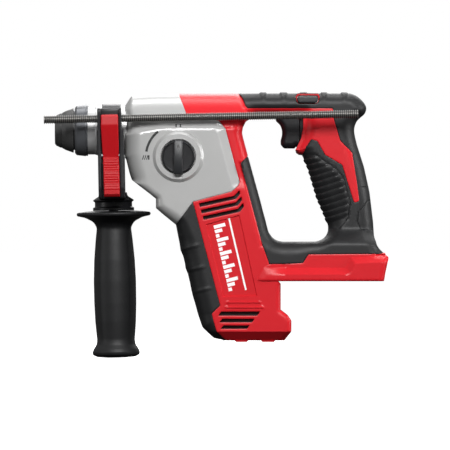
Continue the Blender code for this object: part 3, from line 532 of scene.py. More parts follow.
def triangulate(loops, lines, step, rings, extra):
    """Points and triangles of a flat region."""
    points, edges = plan_points(loops, lines, step, rings, extra)
    made = geometry.delaunay_2d_cdt([Vector(p) for p in points], edges, [], 0, 1e-5)
    flat = np.array([tuple(v) for v in made[0]])
    faces = np.array([face for face in made[2] if len(face) == 3])
    middle = flat[faces].mean(axis=1)
    keep = inside(middle[:, 0], middle[:, 1], loops[0])
    for hole in loops[1:]:
        keep &= ~inside(middle[:, 0], middle[:, 1], hole)
    faces = faces[keep]
    turn = np.cross(flat[faces[:, 1]] - flat[faces[:, 0]], flat[faces[:, 2]] - flat[faces[:, 0]])
    faces[turn < 0] = faces[turn < 0][:, ::-1]
    return flat, faces[np.abs(turn) > 1e-7]


def rim_edges(faces):
    """Directed edges that only one triangle uses."""
    found = {}
    for a, b, c in faces.tolist():
        for edge in ((a, b), (b, c), (c, a)):
            found[edge] = True
    return [edge for edge in found if (edge[1], edge[0]) not in found]


def neighbour_width(name, x, z, side):
    """Face of whatever panel is at that place, or -1 where there is none."""
    best = np.full(np.shape(x), -1.0)
    for other, panel in PANELS.items():
        if other != name:
            there = inside(x, z, panel["loop"])
            best = np.where(there & (best < 0), panel["face"](x, z, side), best)
    return best


def edge_round(x, z, loops, size):
    """How far a face has fallen beside its rims."""
    gap = np.full(np.shape(x), 1e9)
    for loop in loops:
        gap = np.minimum(gap, distance(x, z, loop))
    return fall(gap, size, size)


def panel_mesh(name, side, step=1.4, lines=(), holes=(), extra=(), rings=(0.15, EDGE, 1.3, 2.6, 4.4, 7.0),
               floor=None):
    """One side of a shell: its face, and walls that run down from its rims.

    floor is a rule that takes (x, z, low) and says where the walls end.
    """
    panel = PANELS[name]
    loops = [panel["loop"], *holes]
    flat, faces = triangulate(loops, lines, step, rings, extra)
    x, z = flat[:, 0], flat[:, 1]
    width = panel["face"](x, z, side) - edge_round(x, z, loops, EDGE)
    width = np.maximum(width, PART_GAP)
    verts = [(px, side * w, pz) for px, w, pz in zip(x, width, z)]
    rim = rim_edges(faces)
    polygons = faces.tolist()
    outward = {}
    for a, b in rim:
        direction = flat[b] - flat[a]
        normal = np.array([direction[1], -direction[0]]) / max(np.hypot(*direction), 1e-9)
        outward[a] = outward.get(a, 0) + normal
        outward[b] = outward.get(b, 0) + normal
    order = sorted(outward)
    spots = np.array([flat[i] + outward[i] / max(np.hypot(*outward[i]), 1e-9) for i in order])
    beside = neighbour_width(name, spots[:, 0], spots[:, 1], side)
    low = np.where(beside < 0, PART_GAP, np.minimum(width[order], beside) - LIP)
    if floor is not None:
        low = floor(*flat[order].T, low)
    low = np.minimum(np.maximum(low, PART_GAP), np.maximum(width[order] - 0.02, PART_GAP))
    foot = {}
    for i, y in zip(order, low):
        if width[i] - y > 0.01:
            foot[i] = len(verts)
            verts.append((x[i], side * y, z[i]))
        else:
            foot[i] = i
    for a, b in rim:
        wall = [b, a, foot[a], foot[b]]
        wall = [v for k, v in enumerate(wall) if v not in wall[:k]]
        if len(wall) > 2:
            polygons.append(wall)
    if side > 0:
        polygons = [list(reversed(p)) for p in polygons]
    return verts, polygons


def placed(name, data):
    """New object in the scene."""
    obj = bpy.data.objects.new(name, data)
    bpy.context.scene.collection.objects.link(obj)
    return obj


def mesh_object(name, verts, polygons, finish, stand=None):
    """Object from points in millimetres, turned by the matrix stand where there is one."""
    mesh = bpy.data.meshes.new(name)
    mesh.from_pydata([(a * MM, b * MM, c * MM) for a, b, c in verts], [], polygons)
    if stand is not None:
        mesh.transform(stand)
    mesh.validate()
    mesh.materials.append(finish)
    mesh.shade_smooth()
    mesh.set_sharp_from_angle(angle=radians(38))
    return placed(name, mesh)


def thicken(obj, thickness=SHELL):
    """Wall of a shell, which grows inwards."""
    modifier = obj.modifiers.new("Wall", "SOLIDIFY")
    modifier.thickness = thickness * MM
    modifier.offset = -1
    modifier.use_rim = True
    return obj


def settle(obj, body, slot, *nodes):
    """Ride on a body and stand for CAD nodes. The finish slot is not used."""
    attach(obj, body)
    if nodes:
        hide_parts(*nodes)
    return obj


def level(rule, x, z):
    """Value of a rule in x and z, which may be a plain number."""
    return rule(x, z) if callable(rule) else np.full(len(x), float(rule))


def slab(name, loop, high, low, finish, step=1.2, lines=(), rings=(0.15, 0.5, 1.2), edge=0.4,
         stand=None, holes=()):
    """Closed body over an outline, between the levels of its near and far faces along -Y.

    Without a low level it is the same on both sides of the middle plane.
    """
    flat, faces = triangulate([loop, *holes], lines, step, rings, ())
    x, z = flat[:, 0], flat[:, 1]
    drop = edge_round(x, z, [loop, *holes], edge)
    near = level(high, x, z) - drop
    far = -near if low is None else level(low, x, z) + drop
    count = len(flat)
    verts = [(a, -w, b) for a, w, b in zip(x, near, z)] + [(a, -w, b) for a, w, b in zip(x, far, z)]
    polygons = faces.tolist()
    polygons += [[c + count, b + count, a + count] for a, b, c in faces.tolist()]
    polygons += [[b, a, a + count, b + count] for a, b in rim_edges(faces)]
    return mesh_object(name, verts, polygons, finish, stand)


def printed(name, loop, face, finish, step=0.8, rise=0.07, sink=0.3):
    """Thin layer of print, from just under a face to just above it."""
    return slab(name, loop, lambda x, z: face(x, z) + rise, lambda x, z: face(x, z) - sink, finish,
                step=step, rings=(), edge=0.02)


def along(axis, t, radius, angle):
    """Point at a distance t along an axis and radius from it."""
    a, b = radius * cos(angle), radius * sin(angle)
    return {"X": (t, a, b), "Y": (a, t, b), "Z": (a, b, t)}[axis]


def turned(name, profile, finish, axis="X", sides=96, centre=(0, 0, 0), shape=None, solid=False,
           stand=None):
    """Turned body from a (radius, t) profile: a closed ring, or a solid with flat ends."""
    verts, polygons = [], []
    rows = len(profile)
    for i in range(sides):
        angle = tau * i / sides
        for radius, t in profile:
            if shape:
                radius = shape(angle, radius, t)
            verts.append(tuple(Vector(along(axis, t, radius, angle)) + Vector(centre)))
    spans = rows - 1 if solid else rows
    for i in range(sides):
        j = (i + 1) % sides
        for k in range(spans):
            m = (k + 1) % rows
            polygons.append([i * rows + k, i * rows + m, j * rows + m, j * rows + k])
    if solid:
        polygons.append([i * rows for i in range(sides)])
        polygons.append([i * rows + rows - 1 for i in reversed(range(sides))])
    obj = mesh_object(name, verts, polygons, finish, stand)
    outward_faces(obj)
    return obj


def outward_faces(obj):
    """Turn a closed mesh inside out if its volume is negative."""
    volume = 0.0
    obj.data.calc_loop_triangles()
    for triangle in obj.data.loop_triangles:
        a, b, c = (obj.data.vertices[i].co for i in triangle.vertices)
        volume += a.dot(b.cross(c))
    if volume < 0:
        obj.data.flip_normals()


# ---------------------------------------------------------------- finishes

def feed(tree, socket, value):
    """Give an input socket a value, or another node's output."""
    if isinstance(value, bpy.types.NodeSocket):
        tree.links.new(value, socket)
    else:
        socket.default_value = value


def node(tree, kind, output=None, data_type=None, **inputs):
    """New shader node, or its named output; underscores in its inputs' names stand for spaces."""
    made = tree.nodes.new(kind)
    if data_type:
        made.data_type = data_type
    for key, value in inputs.items():
        feed(tree, made.inputs[key.replace("_", " ")], value)
    return made.outputs[output] if output else made


def finish_of(name, colour, roughness, metallic=0.0, grain=0.35, grain_depth=0.02, mottle=0.06,
              wear=0.12, wear_colour=(0.8, 0.8, 0.8), brushed=False, shine=0.5):
    """Procedural finish: moulded or brushed grain, slow colour and gloss drift, and rubbed edges.

    grain is the size of the surface grain in millimetres and grain_depth its height.
    """
    material = bpy.data.materials.new(name)
    material.use_nodes = True
    tree = material.node_tree
    place = node(tree, "ShaderNodeTexCoord", "Object")

    drift = node(tree, "ShaderNodeTexNoise", "Fac", Vector=place, Scale=38.0, Detail=5.0, Roughness=0.6)
    shade = node(tree, "ShaderNodeMix", "Result", "RGBA", Factor=drift,
                 A=(*[c * (1 - mottle) for c in colour], 1),
                 B=(*[min(1, c * (1 + mottle)) for c in colour], 1))
    edges = node(tree, "ShaderNodeNewGeometry", "Pointiness")
    rub = node(tree, "ShaderNodeMapRange", "Result", Value=edges, From_Min=0.53, From_Max=0.62, To_Max=wear)
    worn = node(tree, "ShaderNodeMix", "Result", "RGBA", Factor=rub, A=shade, B=(*wear_colour, 1))

    gloss = node(tree, "ShaderNodeTexNoise", "Fac", Vector=place, Scale=210.0, Detail=3.0)
    spread = node(tree, "ShaderNodeMapRange", "Result", Value=gloss, To_Min=roughness * 0.88,
                  To_Max=min(1, roughness * 1.12))

    scale = (1, 0.04, 1) if brushed else (1, 1, 1)
    stretch = node(tree, "ShaderNodeMapping", "Vector", Vector=place, Scale=scale)
    fine = node(tree, "ShaderNodeTexNoise", "Fac", Vector=stretch, Scale=1000.0 / grain, Detail=2.0)
    bump = node(tree, "ShaderNodeBump", "Normal", Height=fine, Distance=grain_depth * MM, Strength=0.6)

    shader = {"Base Color": worn, "Roughness": spread, "Normal": bump, "Metallic": metallic,
              "Specular IOR Level": shine}
    for key, value in shader.items():
        feed(tree, tree.nodes["Principled BSDF"].inputs[key], value)
    return material


def make_finishes():
    return {
        "red": finish_of("red_nylon", (0.58, 0.01, 0.017), 0.36, shine=0.3, grain=0.5, grain_depth=0.018,
                         wear_colour=(0.85, 0.25, 0.25)),
        # Darker copy of the red nylon: painted shade on the lever and in the button window
        "shaded_red": finish_of("red_nylon_painted_shade", (0.42, 0.006, 0.01), 0.4, shine=0.2, grain=0.5,
                              grain_depth=0.018, wear_colour=(0.8, 0.2, 0.2)),
        "rubber": finish_of("black_soft_rubber", (0.0095, 0.0098, 0.0105), 0.5, grain=0.45, grain_depth=0.05,
                            mottle=0.12, wear_colour=(0.1, 0.1, 0.1), shine=0.38),
        "cap": finish_of("nose_rubber", (0.05, 0.05, 0.05), 0.42, grain=0.45, grain_depth=0.03,
                         mottle=0.1, wear_colour=(0.2, 0.2, 0.2)),
        "black": finish_of("black_satin_plastic", (0.009, 0.009, 0.0105), 0.36, shine=0.4, grain=0.4,
                           wear_colour=(0.12, 0.12, 0.12)),
        "charcoal": finish_of("charcoal_plastic", (0.02, 0.021, 0.023), 0.42, grain=0.4,
                              wear_colour=(0.2, 0.2, 0.2)),
        "grey": finish_of("silver_grey_paint", (0.44, 0.44, 0.435), 0.31, metallic=0.25, grain=0.25,
                          grain_depth=0.012, mottle=0.04, wear=0.3),
        # Lighter copy of the grey case paint for the collar: painted light on the neck
        "pale": finish_of("collar_grey_painted_light", (0.55, 0.55, 0.55), 0.36, metallic=0.25, grain=0.25,
                          grain_depth=0.01, wear=0.3),
        "steel": finish_of("ground_steel", (0.56, 0.56, 0.57), 0.28, metallic=1.0, grain=0.2,
                           grain_depth=0.006, brushed=True, wear=0.2),
        "dark_steel": finish_of("blackened_steel", (0.115, 0.12, 0.13), 0.36, metallic=0.4, grain=0.25,
                                grain_depth=0.008, wear_colour=(0.4, 0.4, 0.42), wear=0.25),
        "rod": finish_of("oxide_rod", (0.024, 0.023, 0.021), 0.33, metallic=0.4, grain=0.3,
                         wear_colour=(0.45, 0.43, 0.4), wear=0.5),
        "copper": finish_of("copper_winding", (0.72, 0.33, 0.18), 0.35, metallic=1.0, grain=0.5,
                            grain_depth=0.05, brushed=True, wear=0.1),
        # Black print, and the same near-black as painted shade in the rod's valleys and behind the vents
        "ink_black_and_shade": finish_of("black_ink_and_painted_shade", (0.012, 0.012, 0.012), 0.55, wear=0.0),
        "print_white": finish_of("white_print", (0.9, 0.9, 0.9), 0.5, mottle=0.02, wear=0.0),
    }


# ---------------------------------------------------------------- pieces

def both_sides(name, panel, finish, slot, node_name=None, holes=(), right_holes=(), **options):
    """The left and right halves of a moulded pair, as hollow shells on the case."""
    for side, label in ((-1, "left"), (1, "right")):
        cuts = [*holes, *right_holes] if side > 0 else holes
        verts, polygons = panel_mesh(panel, side, holes=cuts, **options)
        shell = thicken(mesh_object(f"{name}_{label}", verts, polygons, finish))
        settle(shell, "case", slot, *([f"{node_name}_{label}"] if node_name else []))


def screw_place(name):
    """Middle of a screw, from the frame."""
    low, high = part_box(name)
    return (low + high) / 2 / MM


def screw_holes(*names):
    """Round recesses over the screws."""
    places = [screw_place(name) for name in names]
    return [circle(place.x, place.z, SCREW_RECESS, 28) for place in places]


def barrel_points(first, last, step=2.2, turn=4):
    """Points on the round top of the barrel, evenly spread around it."""
    points = []
    for x in np.arange(first, last, step):
        radius = float(np.interp(x, *BARREL))
        points += [(x, radius * sin(radians(a))) for a in range(10, 90, turn)]
        points += [(x, radius * sin(radians(a))) for a in (87.5, 88.8)]
    return points


def build_gear_case(look):
    knob_lines = [(circle(KNOB.x, KNOB.z, r, 72), True) for r in
                  (BOSS_RADIUS, BOSS_RADIUS - BOSS_BEVEL, KNOB_WELL + 0.15, KNOB_WELL - 0.15)]
    knob_lines += [(BOSS_NOTCH, True), (inset(BOSS_NOTCH, -0.3), True)]
    shoulder = [(x, float(np.interp(x, (22, 50), (1.5, SHOULDER_Z)))) for x in range(20, 112, 3)]
    lines = [(shoulder, False), ([(x, z - SHOULDER_DROP) for x, z in shoulder], False),
             ([(92, 0.9), (98.5, 0.5), (100.2, -8), (107, -34), (108.8, -44)], False)]
    verts, polygons = [], []
    for side in (-1, 1):
        own = lines + knob_lines if side < 0 else lines
        more, faces = panel_mesh("case", side, lines=own, extra=barrel_points(18.5, 72),
                                 step=1.3, floor=case_floor)
        start = len(verts)
        verts += more
        polygons += [[v + start for v in face] for face in faces]
    case = mesh_object("gear_case_shell", verts, polygons, look["grey"])
    settle(thicken(case, 2.2), "case", "grey_case", "gear_case")
    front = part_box("gear_case")[0].x / MM
    profile = rounded([(18.9, front), (20.5, front, 0.5), (20.9, front + 0.6, 0.4), (20.9, -8.4),
                       (21.3, -7.9), (21.3, 19), (18.9, 19)])
    # the collar is part of the grey case; its paler grey is painted light
    settle(turned("case_collar", profile, look["pale"]), "case", "grey_case")


def case_floor(x, z, low):
    """The gear case is one piece, so its silhouette walls meet in the middle plane."""
    return np.where(low <= PART_GAP, 0.0, low)


def build_housing(look):
    vents = [rounded(shifted(VENT, i * VENT_SHIFT[0], i * VENT_SHIFT[1])) for i in range(VENT_COUNT)]
    first = BASE_VENTS[0][0]
    for top, bottom in BASE_VENTS:
        left = BASE_VENT_LEFT + BASE_VENT_LEAN[0] * (first - top)
        right = [BASE_VENT_RIGHT - BASE_VENT_LEAN[1] * (first - z) for z in (top, bottom)]
        vents.append(rounded([(left + 3.5, top, 0.5), (right[0], top, 0.5), (right[1], bottom, 0.5),
                              (left + 0.8, bottom, 0.5)]))
    lines = [(NAMEPLATE, True), (inset(NAMEPLATE, 0.7), True), ([(90, SPLIT_Z), (165, SPLIT_Z)], False),
             ([(100, SHOULDER_Z), (125, SHOULDER_Z)], False)]
    for height, start, end in BASE_RIDGES:
        for offset in (-1.0, -0.4, 0.4, 1.0):
            lines.append(([(start - 1, height + offset), (end + 1, height + offset)], False))
    both_sides("housing_shell", "body", look["red"], "red_plastic", "housing", holes=vents, lines=lines,
               extra=barrel_points(66, 120))
    both_sides("handle_blade", "blade", look["red"], "red_plastic", step=1.3, floor=mouth_floor)
    wide = [(FOOT_WIDE, True), (inset(FOOT_WIDE, 6), True)]
    both_sides("battery_foot", "foot", look["red"], "red_plastic", step=1.5, lines=wide,
               right_holes=screw_holes(FOOT_SCREW), floor=screw_floor)


def build_vent_shade_sheets(look):
    """Black sheets inside the shells, behind the vents: painted shade that makes the vents look dark inside."""
    upper = rounded([(79, -62, 2), (112, -54, 2), (121, -49, 2), (122.5, -68, 2), (118, -78, 2),
                     (84, -84, 2)])
    lower = rounded([(94, -155, 2), (139, -155, 2), (128, -174, 2), (98, -174, 2)])
    for label, near, far in (("left", 29.5, 28.0), ("right", -28.0, -29.5)):
        for name, loop in (("fan", upper), ("base", lower)):
            # painted shade: near-black sheets standing in for the shade inside the housing
            shade_fill = slab(f"vent_shade_sheet_{name}_{label}", loop, near, far, look["ink_black_and_shade"], step=4)
            settle(shade_fill, "case", "black_plastic")


def mouth_floor(x, z, low):
    """The mouth that the trigger slides in stays open between the shells."""
    return np.where(depth_in(x, z, MOUTH) > -1.2, MOUTH_FLOOR, low)


def screw_floor(x, z, low):
    """Screw recesses end at the screw's seat."""
    at_screw = np.zeros(np.shape(x), bool)
    for place in [screw_place(name) for name in (*HANDLE_SCREWS, FOOT_SCREW)]:
        at_screw |= np.hypot(x - place.x, z - place.z) < SCREW_RECESS + 0.4
    return np.where(at_screw, SCREW_SEAT, low)


def build_covers(look):
    grooves = [(inset(RIB_ZONE, 0.2), True)]
    for i in range(RIB_COUNT + 1):
        start = RIB_FIRST + i * RIB_PITCH
        for offset in (0, 0.4, RIB_CREST * RIB_PITCH):
            across = start + offset
            row = [(RIB_AXIS[0] * across - RIB_AXIS[1] * t, RIB_AXIS[1] * across + RIB_AXIS[0] * t)
                   for t in (135, 225)]
            grooves.append((row, False))
    for line in COVER_GROOVES:
        for offset in (-GROOVE, 0, GROOVE):
            grooves.append(([(x + 0.2 * offset, z + offset) for x, z in line], False))
    both_sides("handle_cover", "cover", look["rubber"], "black_rubber", "handle_overmold",
               holes=[rounded(BUTTON_WINDOW)], right_holes=screw_holes(*HANDLE_SCREWS), lines=grooves,
               step=1.25, rings=(0.15, 0.5, 1.2, 2.2, 3.6, 5.4, 7.6),
               floor=lambda x, z, low: screw_floor(x, z, mouth_floor(x, z, low)))
    both_sides("motor_cover", "motor_front", look["rubber"], "black_rubber", "motor_overmold", step=1.3)


def build_controls(look):
    key = slab("trigger_key", rounded(TRIGGER), trigger_face, None, look["black"], step=1.0,
               rings=(0.15, 0.5, 1.2, 2.2, 3.4, 4.6))
    settle(key, "trigger", "black_plastic", "trigger")
    button = slab("direction_button", BUTTON_LOOP, button_face, None, look["charcoal"], step=0.9)
    settle(button, "direction_shuttle", "black_plastic", "direction_shuttle")
    # the guide fills the button window in the darker red, which is painted shade in the window's recess
    shade_fill = slab("button_guide", rounded(inset(BUTTON_WINDOW, -0.9)), GUIDE_WIDTH, None,
                 look["shaded_red"], holes=[inset(BUTTON_LOOP, -0.25)])
    settle(shade_fill, "case", "red_plastic")


def build_knob(look):
    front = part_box("mode_knob")[0].y / MM
    rim = KNOB_DISC_RADIUS
    disc = rounded([(rim - 0.4, -BODY_WIDTH + 0.8), (rim, -BODY_WIDTH + 0.4, 0.3), (rim, front + 6.6, 0.8),
                    (rim - 1.0, front + 6.0, 0.4), (rim - 1.8, front + 6.5, 0.4), (5, front + 6.5)],
                   closed=False)
    settle(turned("knob_disc", disc, look["black"], "Y", 96, (KNOB.x, 0, KNOB.z), solid=True),
           "mode_knob", "black_plastic", "mode_knob")
    half, bottom, top = KNOB_BAR
    loop = [(*place, 1.5) for place in block(KNOB.x - half, KNOB.z + bottom, KNOB.x + half, KNOB.z + top)]

    def crest(x, z):
        return -front - 0.012 * (z - KNOB.z) ** 2 - 0.02 * (x - KNOB.x) ** 2

    def underside(x, z):
        over_ring = np.hypot(x - KNOB.x, z - KNOB.z) > KNOB_WELL - 1.2
        return np.where(over_ring, BODY_WIDTH + BOSS_HEIGHT + 0.3, BODY_WIDTH - 0.9)

    settle(slab("knob_grip", rounded(loop), crest, underside, look["charcoal"], rings=(0.2, 0.6, 1.1),
                edge=0.9), "mode_knob", "black_plastic")
    mark = rounded([(KNOB.x - 1.6, KNOB.z + 7.8, 0.2), (KNOB.x + 1.6, KNOB.z + 7.8, 0.2),
                    (KNOB.x, KNOB.z + 11.2, 0.2)])
    settle(printed("knob_pointer", mark, crest, look["ink_black_and_shade"], 0.5, 0.12, 0.5), "mode_knob",
           "black_plastic")


def block(left, bottom, right, top, lean=0.0):
    """Corners of a rectangle whose top leans to one side."""
    return [(left, bottom), (right, bottom), (right + lean, top), (left + lean, top)]


def build_prints(look):
    """Plain marks around the knob, and plain bars on the name plates."""
    def dial(name, loop, step=0.8):
        ink = printed(f"dial_{name}", loop, lambda x, z: gear_case_face(x, z, -1), look["ink_black_and_shade"],
                      step, sink=0.25)
        settle(ink, "case", "black_plastic")

    angles = [radians(129 + 2 * i) for i in range(22)]
    inner, outer = [[(KNOB.x + radius * cos(a), KNOB.z + radius * sin(a)) for a in angles]
                    for radius in DIAL_RADII]
    dial("arc", outer + inner[::-1], 1.0)
    low, high = KNOB.z - 2.6, KNOB.z + 1.2
    for i in range(3):
        left = KNOB.x - 31.4 + i * 1.75
        dial(f"bar_{i}", block(left, low, left + 0.8, high, 1.2))
    dial("block", block(KNOB.x - 26.2, low, KNOB.x - 24.9, high))
    for i, dx in enumerate((-1.9, 1.9)):
        dial(f"tick_{i}", block(KNOB.x + dx - 0.6, KNOB.z + 25.6, KNOB.x + dx + 0.6, KNOB.z + 28.2))

    for side, label in ((-1, "left"), (1, "right")):
        for i in range(STRIPES):
            middle = Vector((99.2, -81)).lerp(Vector((112.8, -139)), (i + 0.5) / STRIPES)
            across = Vector((4.9, 1.28)) * (1 - 0.35 * (i % 3))
            stripe(f"name_bar_{label}_{i}", middle + across - Vector((4.9, 1.28)), across,
                   Vector((0.38, -1.42)), side, look)
        stripe(f"name_line_{label}", Vector((115.2, -107.5)), Vector((7.3, -31)), Vector((0.75, 0.18)),
               side, look)


def stripe(name, middle, across, thick, side, look):
    """Plain white printed bar on the name plate."""
    loop = [tuple(middle - across - thick), tuple(middle + across - thick),
            tuple(middle + across + thick), tuple(middle - across + thick)]
    piece = printed(name, loop, lambda x, z: body_face(x, z, side), look["print_white"], 1.5)
    if side > 0:
        piece.data.transform(Matrix.Scale(-1, 4, (0, 1, 0)))
        piece.data.flip_normals()
    settle(piece, "case", "red_plastic")


def build_chuck(look):
    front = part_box("dust_cap")[0].x / MM
    low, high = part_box("locking_sleeve")
    start, end = low.x / MM, high.x / MM
    cap = rounded([(5.7, front), (11.6, front, 0.8), (13.2, front + 1.2, 1.5), (15.1, front + 5.3, 0.2),
                   (14.8, front + 5.9, 0.2), (15.4, front + 6.4, 0.2), (17.0, front + 9.4, 4),
                   (19.3, front + 15.9, 0.5), (19.0, front + 16.3), (17.0, front + 16.4), (17.0, start - 0.2),
                   (10, start - 0.2), (10, front + 3.2), (5.7, front + 3.2)])
    settle(turned("nose_cap", cap, look["cap"]), "chuck", "black_rubber", "dust_cap")
    sleeve = rounded([(12.5, start), (19.7, start, 0.5), (21.5, start + 1.6, 0.8), (22.3, start + 9, 4),
                      (22.3, end - 1.9, 0.2), (21.9, end - 1.6, 0.15), (21.9, end - 1.2, 0.15),
                      (22.2, end - 0.9, 0.2), (22.1, end, 0.2), (21.6, end), (21.6, start + 2.8),
                      (12.5, start + 2.8)])
    settle(turned("sleeve_shell", sleeve, look["dark_steel"]), "locking_sleeve", "dark_steel",
           "locking_sleeve")


def build_side_handle(look):
    low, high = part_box("clamp_band")
    start, end = low.x / MM, high.x / MM
    band = rounded([(21.6, start), (22.7, start, 0.3), (23, start + 0.6, 0.2), (23, end - 0.6, 0.2),
                    (22.7, end, 0.3), (21.6, end)])
    settle(turned("steel_band", band, look["black"]), "side_clamp", "dark_steel", "clamp_band")
    build_clamp_frame(look)
    build_rod(look)
    build_lever(look)
    build_grip(look)


def build_rod(look):
    """Toothed depth rod with painted shade in its valleys."""
    teeth = []
    for i in range(int((ROD_END - ROD_START) / ROD_PITCH)):
        t = ROD_START + i * ROD_PITCH
        teeth += [(ROD_ROOT, t), (ROD_TIP, t + 0.15), (ROD_TIP, t + 0.8), (ROD_ROOT, t + 0.95)]
    rod = turned("toothed_rod", teeth, look["rod"], "X", 20, (0, ROD_Y, ROD_Z), solid=True,
                 stand=LEAN)
    # the faces between the teeth take the near-black finish: painted shade in the valleys
    rod.data.materials.append(look["ink_black_and_shade"])
    upright = LEAN.inverted()
    for polygon in rod.data.polygons:
        spot = upright @ polygon.center / MM
        if hypot(spot.y - ROD_Y, spot.z - ROD_Z) < ROD_ROOT + 0.1:
            polygon.material_index = 1
    settle(rod, "depth_rod", "black_plastic", "depth_rod")


def build_lever(look):
    """Red lever that frees the rod: a ribbed lower half, and a back that clears its pin. Its darker red is painted
    shade.
    """
    loop = rounded([(-8.9, 13.4, 1.2), (5.9, 13.4, 1.2), (6.0, -20), (6.2, -57.9, 0.8), (-7.3, -57.9, 0.8),
                    (-7.7, -30), (-9.1, 2)])
    lines = [([(-12, z), (10, z)], False) for z in (11.5, 4.5, -23.6, -52.2, -55.4)]

    def front(x, z):
        base = np.interp(z, (-57.9, -55.4, -52.2, -23.6, 4.5, 11.5, 14.3),
                         (48.0, 50.4, 50.2, 44.9, 50.8, 49.9, 46.8))
        row = (LEVER_RIB_START - z) / LEVER_RIB
        rib = np.sqrt(np.maximum(1 - (2 * (row - np.floor(row)) - 1) ** 2, 0))
        return base + LEVER_RIB_HEIGHT * rib * ((row > 0) & (row < LEVER_RIBS))

    def back(x, z):
        return np.where(np.abs(z + 22) < 4, LEVER_BACK_AT_PIN, LEVER_BACK)

    # the darker red is painted shade on the lever's face
    lever = slab("ribbed_lever", loop, front, back, look["shaded_red"], step=0.5, lines=lines,
                 rings=(0.15, 0.5), edge=0.7, stand=LEAN)
    settle(lever, "rod_lever", "red_plastic", "rod_release_lever")


def build_grip(look):
    """Soft side grip with a flange at the top, and eight flats that fade out at both ends."""
    profile = rounded([(4.4, -69.85), (18.2, -69.85, 0.5), (24, -70.3, 10), (31.6, -71.2, 1.2),
                       (32.3, -72.6, 1), (31.6, -74.2, 1.2), (25, -75.6, 12), (17.6, -79.4, 10),
                       (14.9, -84.5, 6), (16.1, -95, 20), (17.7, -112.7, 30), (18.4, -131, 40),
                       (18.3, -150, 40), (17.7, -166, 30), (16.4, -182, 12), (17.0, -186, 6),
                       (19.6, -190.2, 3), (20.6, -192.6, 1.5), (20.2, -195, 1.5), (16.5, -196.9, 6),
                       (8, -197.5), (4.4, -197.5)])
    half = GRIP_FACET / 2

    def facet(angle, radius, t):
        turn = abs(abs((angle % pi) - pi / 2) - 3 * half)
        share = ramp((-84 - t) / 12) * ramp((t + 184) / 6)
        if turn > half or radius < 10:
            return radius
        return radius * (1 - GRIP_FLATTEN * share * (1 - cos(half) / cos(turn)))

    grip = turned("side_grip", resample(profile, 1.6).tolist(), look["rubber"], "Z", 96, shape=facet,
                  stand=LEAN)
    settle(grip, "handle_grip", "black_rubber", "handle_grip")


def build_clamp_frame(look):
    """Plastic frame of the side handle: a saddle between two cheeks, and a turned skirt below."""
    side_view = LEAN @ Matrix.Rotation(pi / 2, 4, "Z")
    cradle = [(BAND_RADIUS * cos(radians(a)), BAND_RADIUS * sin(radians(a))) for a in range(188, 353, 4)]
    rear = [(28, -3, 3), (30, -14, 14), (27.5, -34, 14), (18, -55, 8), (16, -59.5, 1)]
    cheek = [(-46.2, 19.1, 3), (-34, 19.1, 3), (-31, 10, 6), (-26.4, -1, 2), *cradle, *rear,
             (-45.4, -59.5, 3), (-46.8, -50, 10), (-46, -22, 20)]
    saddle = inset([(-43.8, 19.1, 2), (-34, 19.1, 3), (-31, 10, 6), (-26.4, -1, 2), *cradle, *rear,
                    (-39.2, -59.5, 0.5), (-39.2, -1.5, 1), (-43.8, -1, 1)], 0.15)
    rod_hole = circle(ROD_Y, ROD_Z, ROD_TIP + 0.35, 28)
    steps = [([(-60, z), (40, z)], False) for z in (2.2, 0.8, 0.2, -0.8, -21, -22)]

    def outer_right(y, z):
        return 8.7 + 1.9 * ramp((2.2 - z) / 1.4) - 2.5 * soft((y - 2) / 26)

    def outer_left(y, z):
        step = 0.8 * ramp(0.2 - z) * ramp(z + 22)
        return -12.2 - step + 2.5 * soft((y - 2) / 26)

    layers = (("left", cheek, -9.2, outer_left), ("middle", saddle, 7.0, -9.8),
              ("right", cheek, outer_right, 6.4))
    for label, loop, high, low in layers:
        piece = slab(f"clamp_frame_{label}", rounded(loop), high, low, look["black"], step=1.4, lines=steps,
                     rings=(0.15, 0.5, 1.0), edge=0.8, stand=side_view, holes=[rod_hole])
        settle(piece, "side_clamp", "black_plastic", "clamp_housing")
    skirt = rounded([(6, -54), (11.8, -54), (12.4, -57, 4), (17.4, -60.2, 2), (17.9, -61, 0.5),
                     (16.2, -62.3, 0.8), (16.2, -66.4, 0.8), (17.9, -67.2, 0.5), (17.9, -69.7, 0.5),
                     (6, -69.7)])
    settle(turned("clamp_skirt", skirt, look["black"], "Z", 96, stand=LEAN), "side_clamp",
           "black_plastic", "clamp_housing")


def finish_cad(look):
    """Give every CAD node that stays visible its own procedural finish."""
    finishes = {"red_plastic": "red", "black_rubber": "rubber", "black_plastic": "black",
                "grey_case": "grey", "steel": "steel", "dark_steel": "dark_steel", "copper": "copper"}
    slots = {part["node"]: part["material_slot"] for part in frame["record"]["subparts"]}
    for name, obj in frame["nodes"].items():
        obj.data.materials.clear()
        finish = "dark_steel" if name == "lever_pin" else finishes[slots[name]]
        obj.data.materials.append(look[finish])


def softbox(name, place, target, size, power):
    """White area light that faces the tool."""
    data = bpy.data.lights.new(name, "AREA")
    data.shape = "RECTANGLE"
    data.size, data.size_y = size
    data.energy = power
    light = placed(name, data)
    light.location = place
    light.rotation_euler = (Vector(target) - Vector(place)).to_track_quat("-Z", "Y").to_euler()


def studio_world():
    """White behind the tool for the camera; bright above and dark below for everything else."""
    world = bpy.data.worlds.new("studio")
    world.use_nodes = True
    tree = world.node_tree
    direction = node(tree, "ShaderNodeTexCoord", "Generated")
    height = node(tree, "ShaderNodeSeparateXYZ", "Z", Vector=direction)
    sky = node(tree, "ShaderNodeMapRange", "Result", Value=height, From_Min=-0.35, From_Max=0.75,
               To_Min=ROOM_DARK, To_Max=ROOM_LIGHT)
    seen = node(tree, "ShaderNodeLightPath", "Is Camera Ray")
    strength = node(tree, "ShaderNodeMix", "Result", Factor=seen, A=sky, B=1.0)
    background = tree.nodes["Background"]
    feed(tree, background.inputs["Strength"], strength)
    feed(tree, background.inputs["Color"], (1, 1, 1, 1))
    bpy.context.scene.world = world


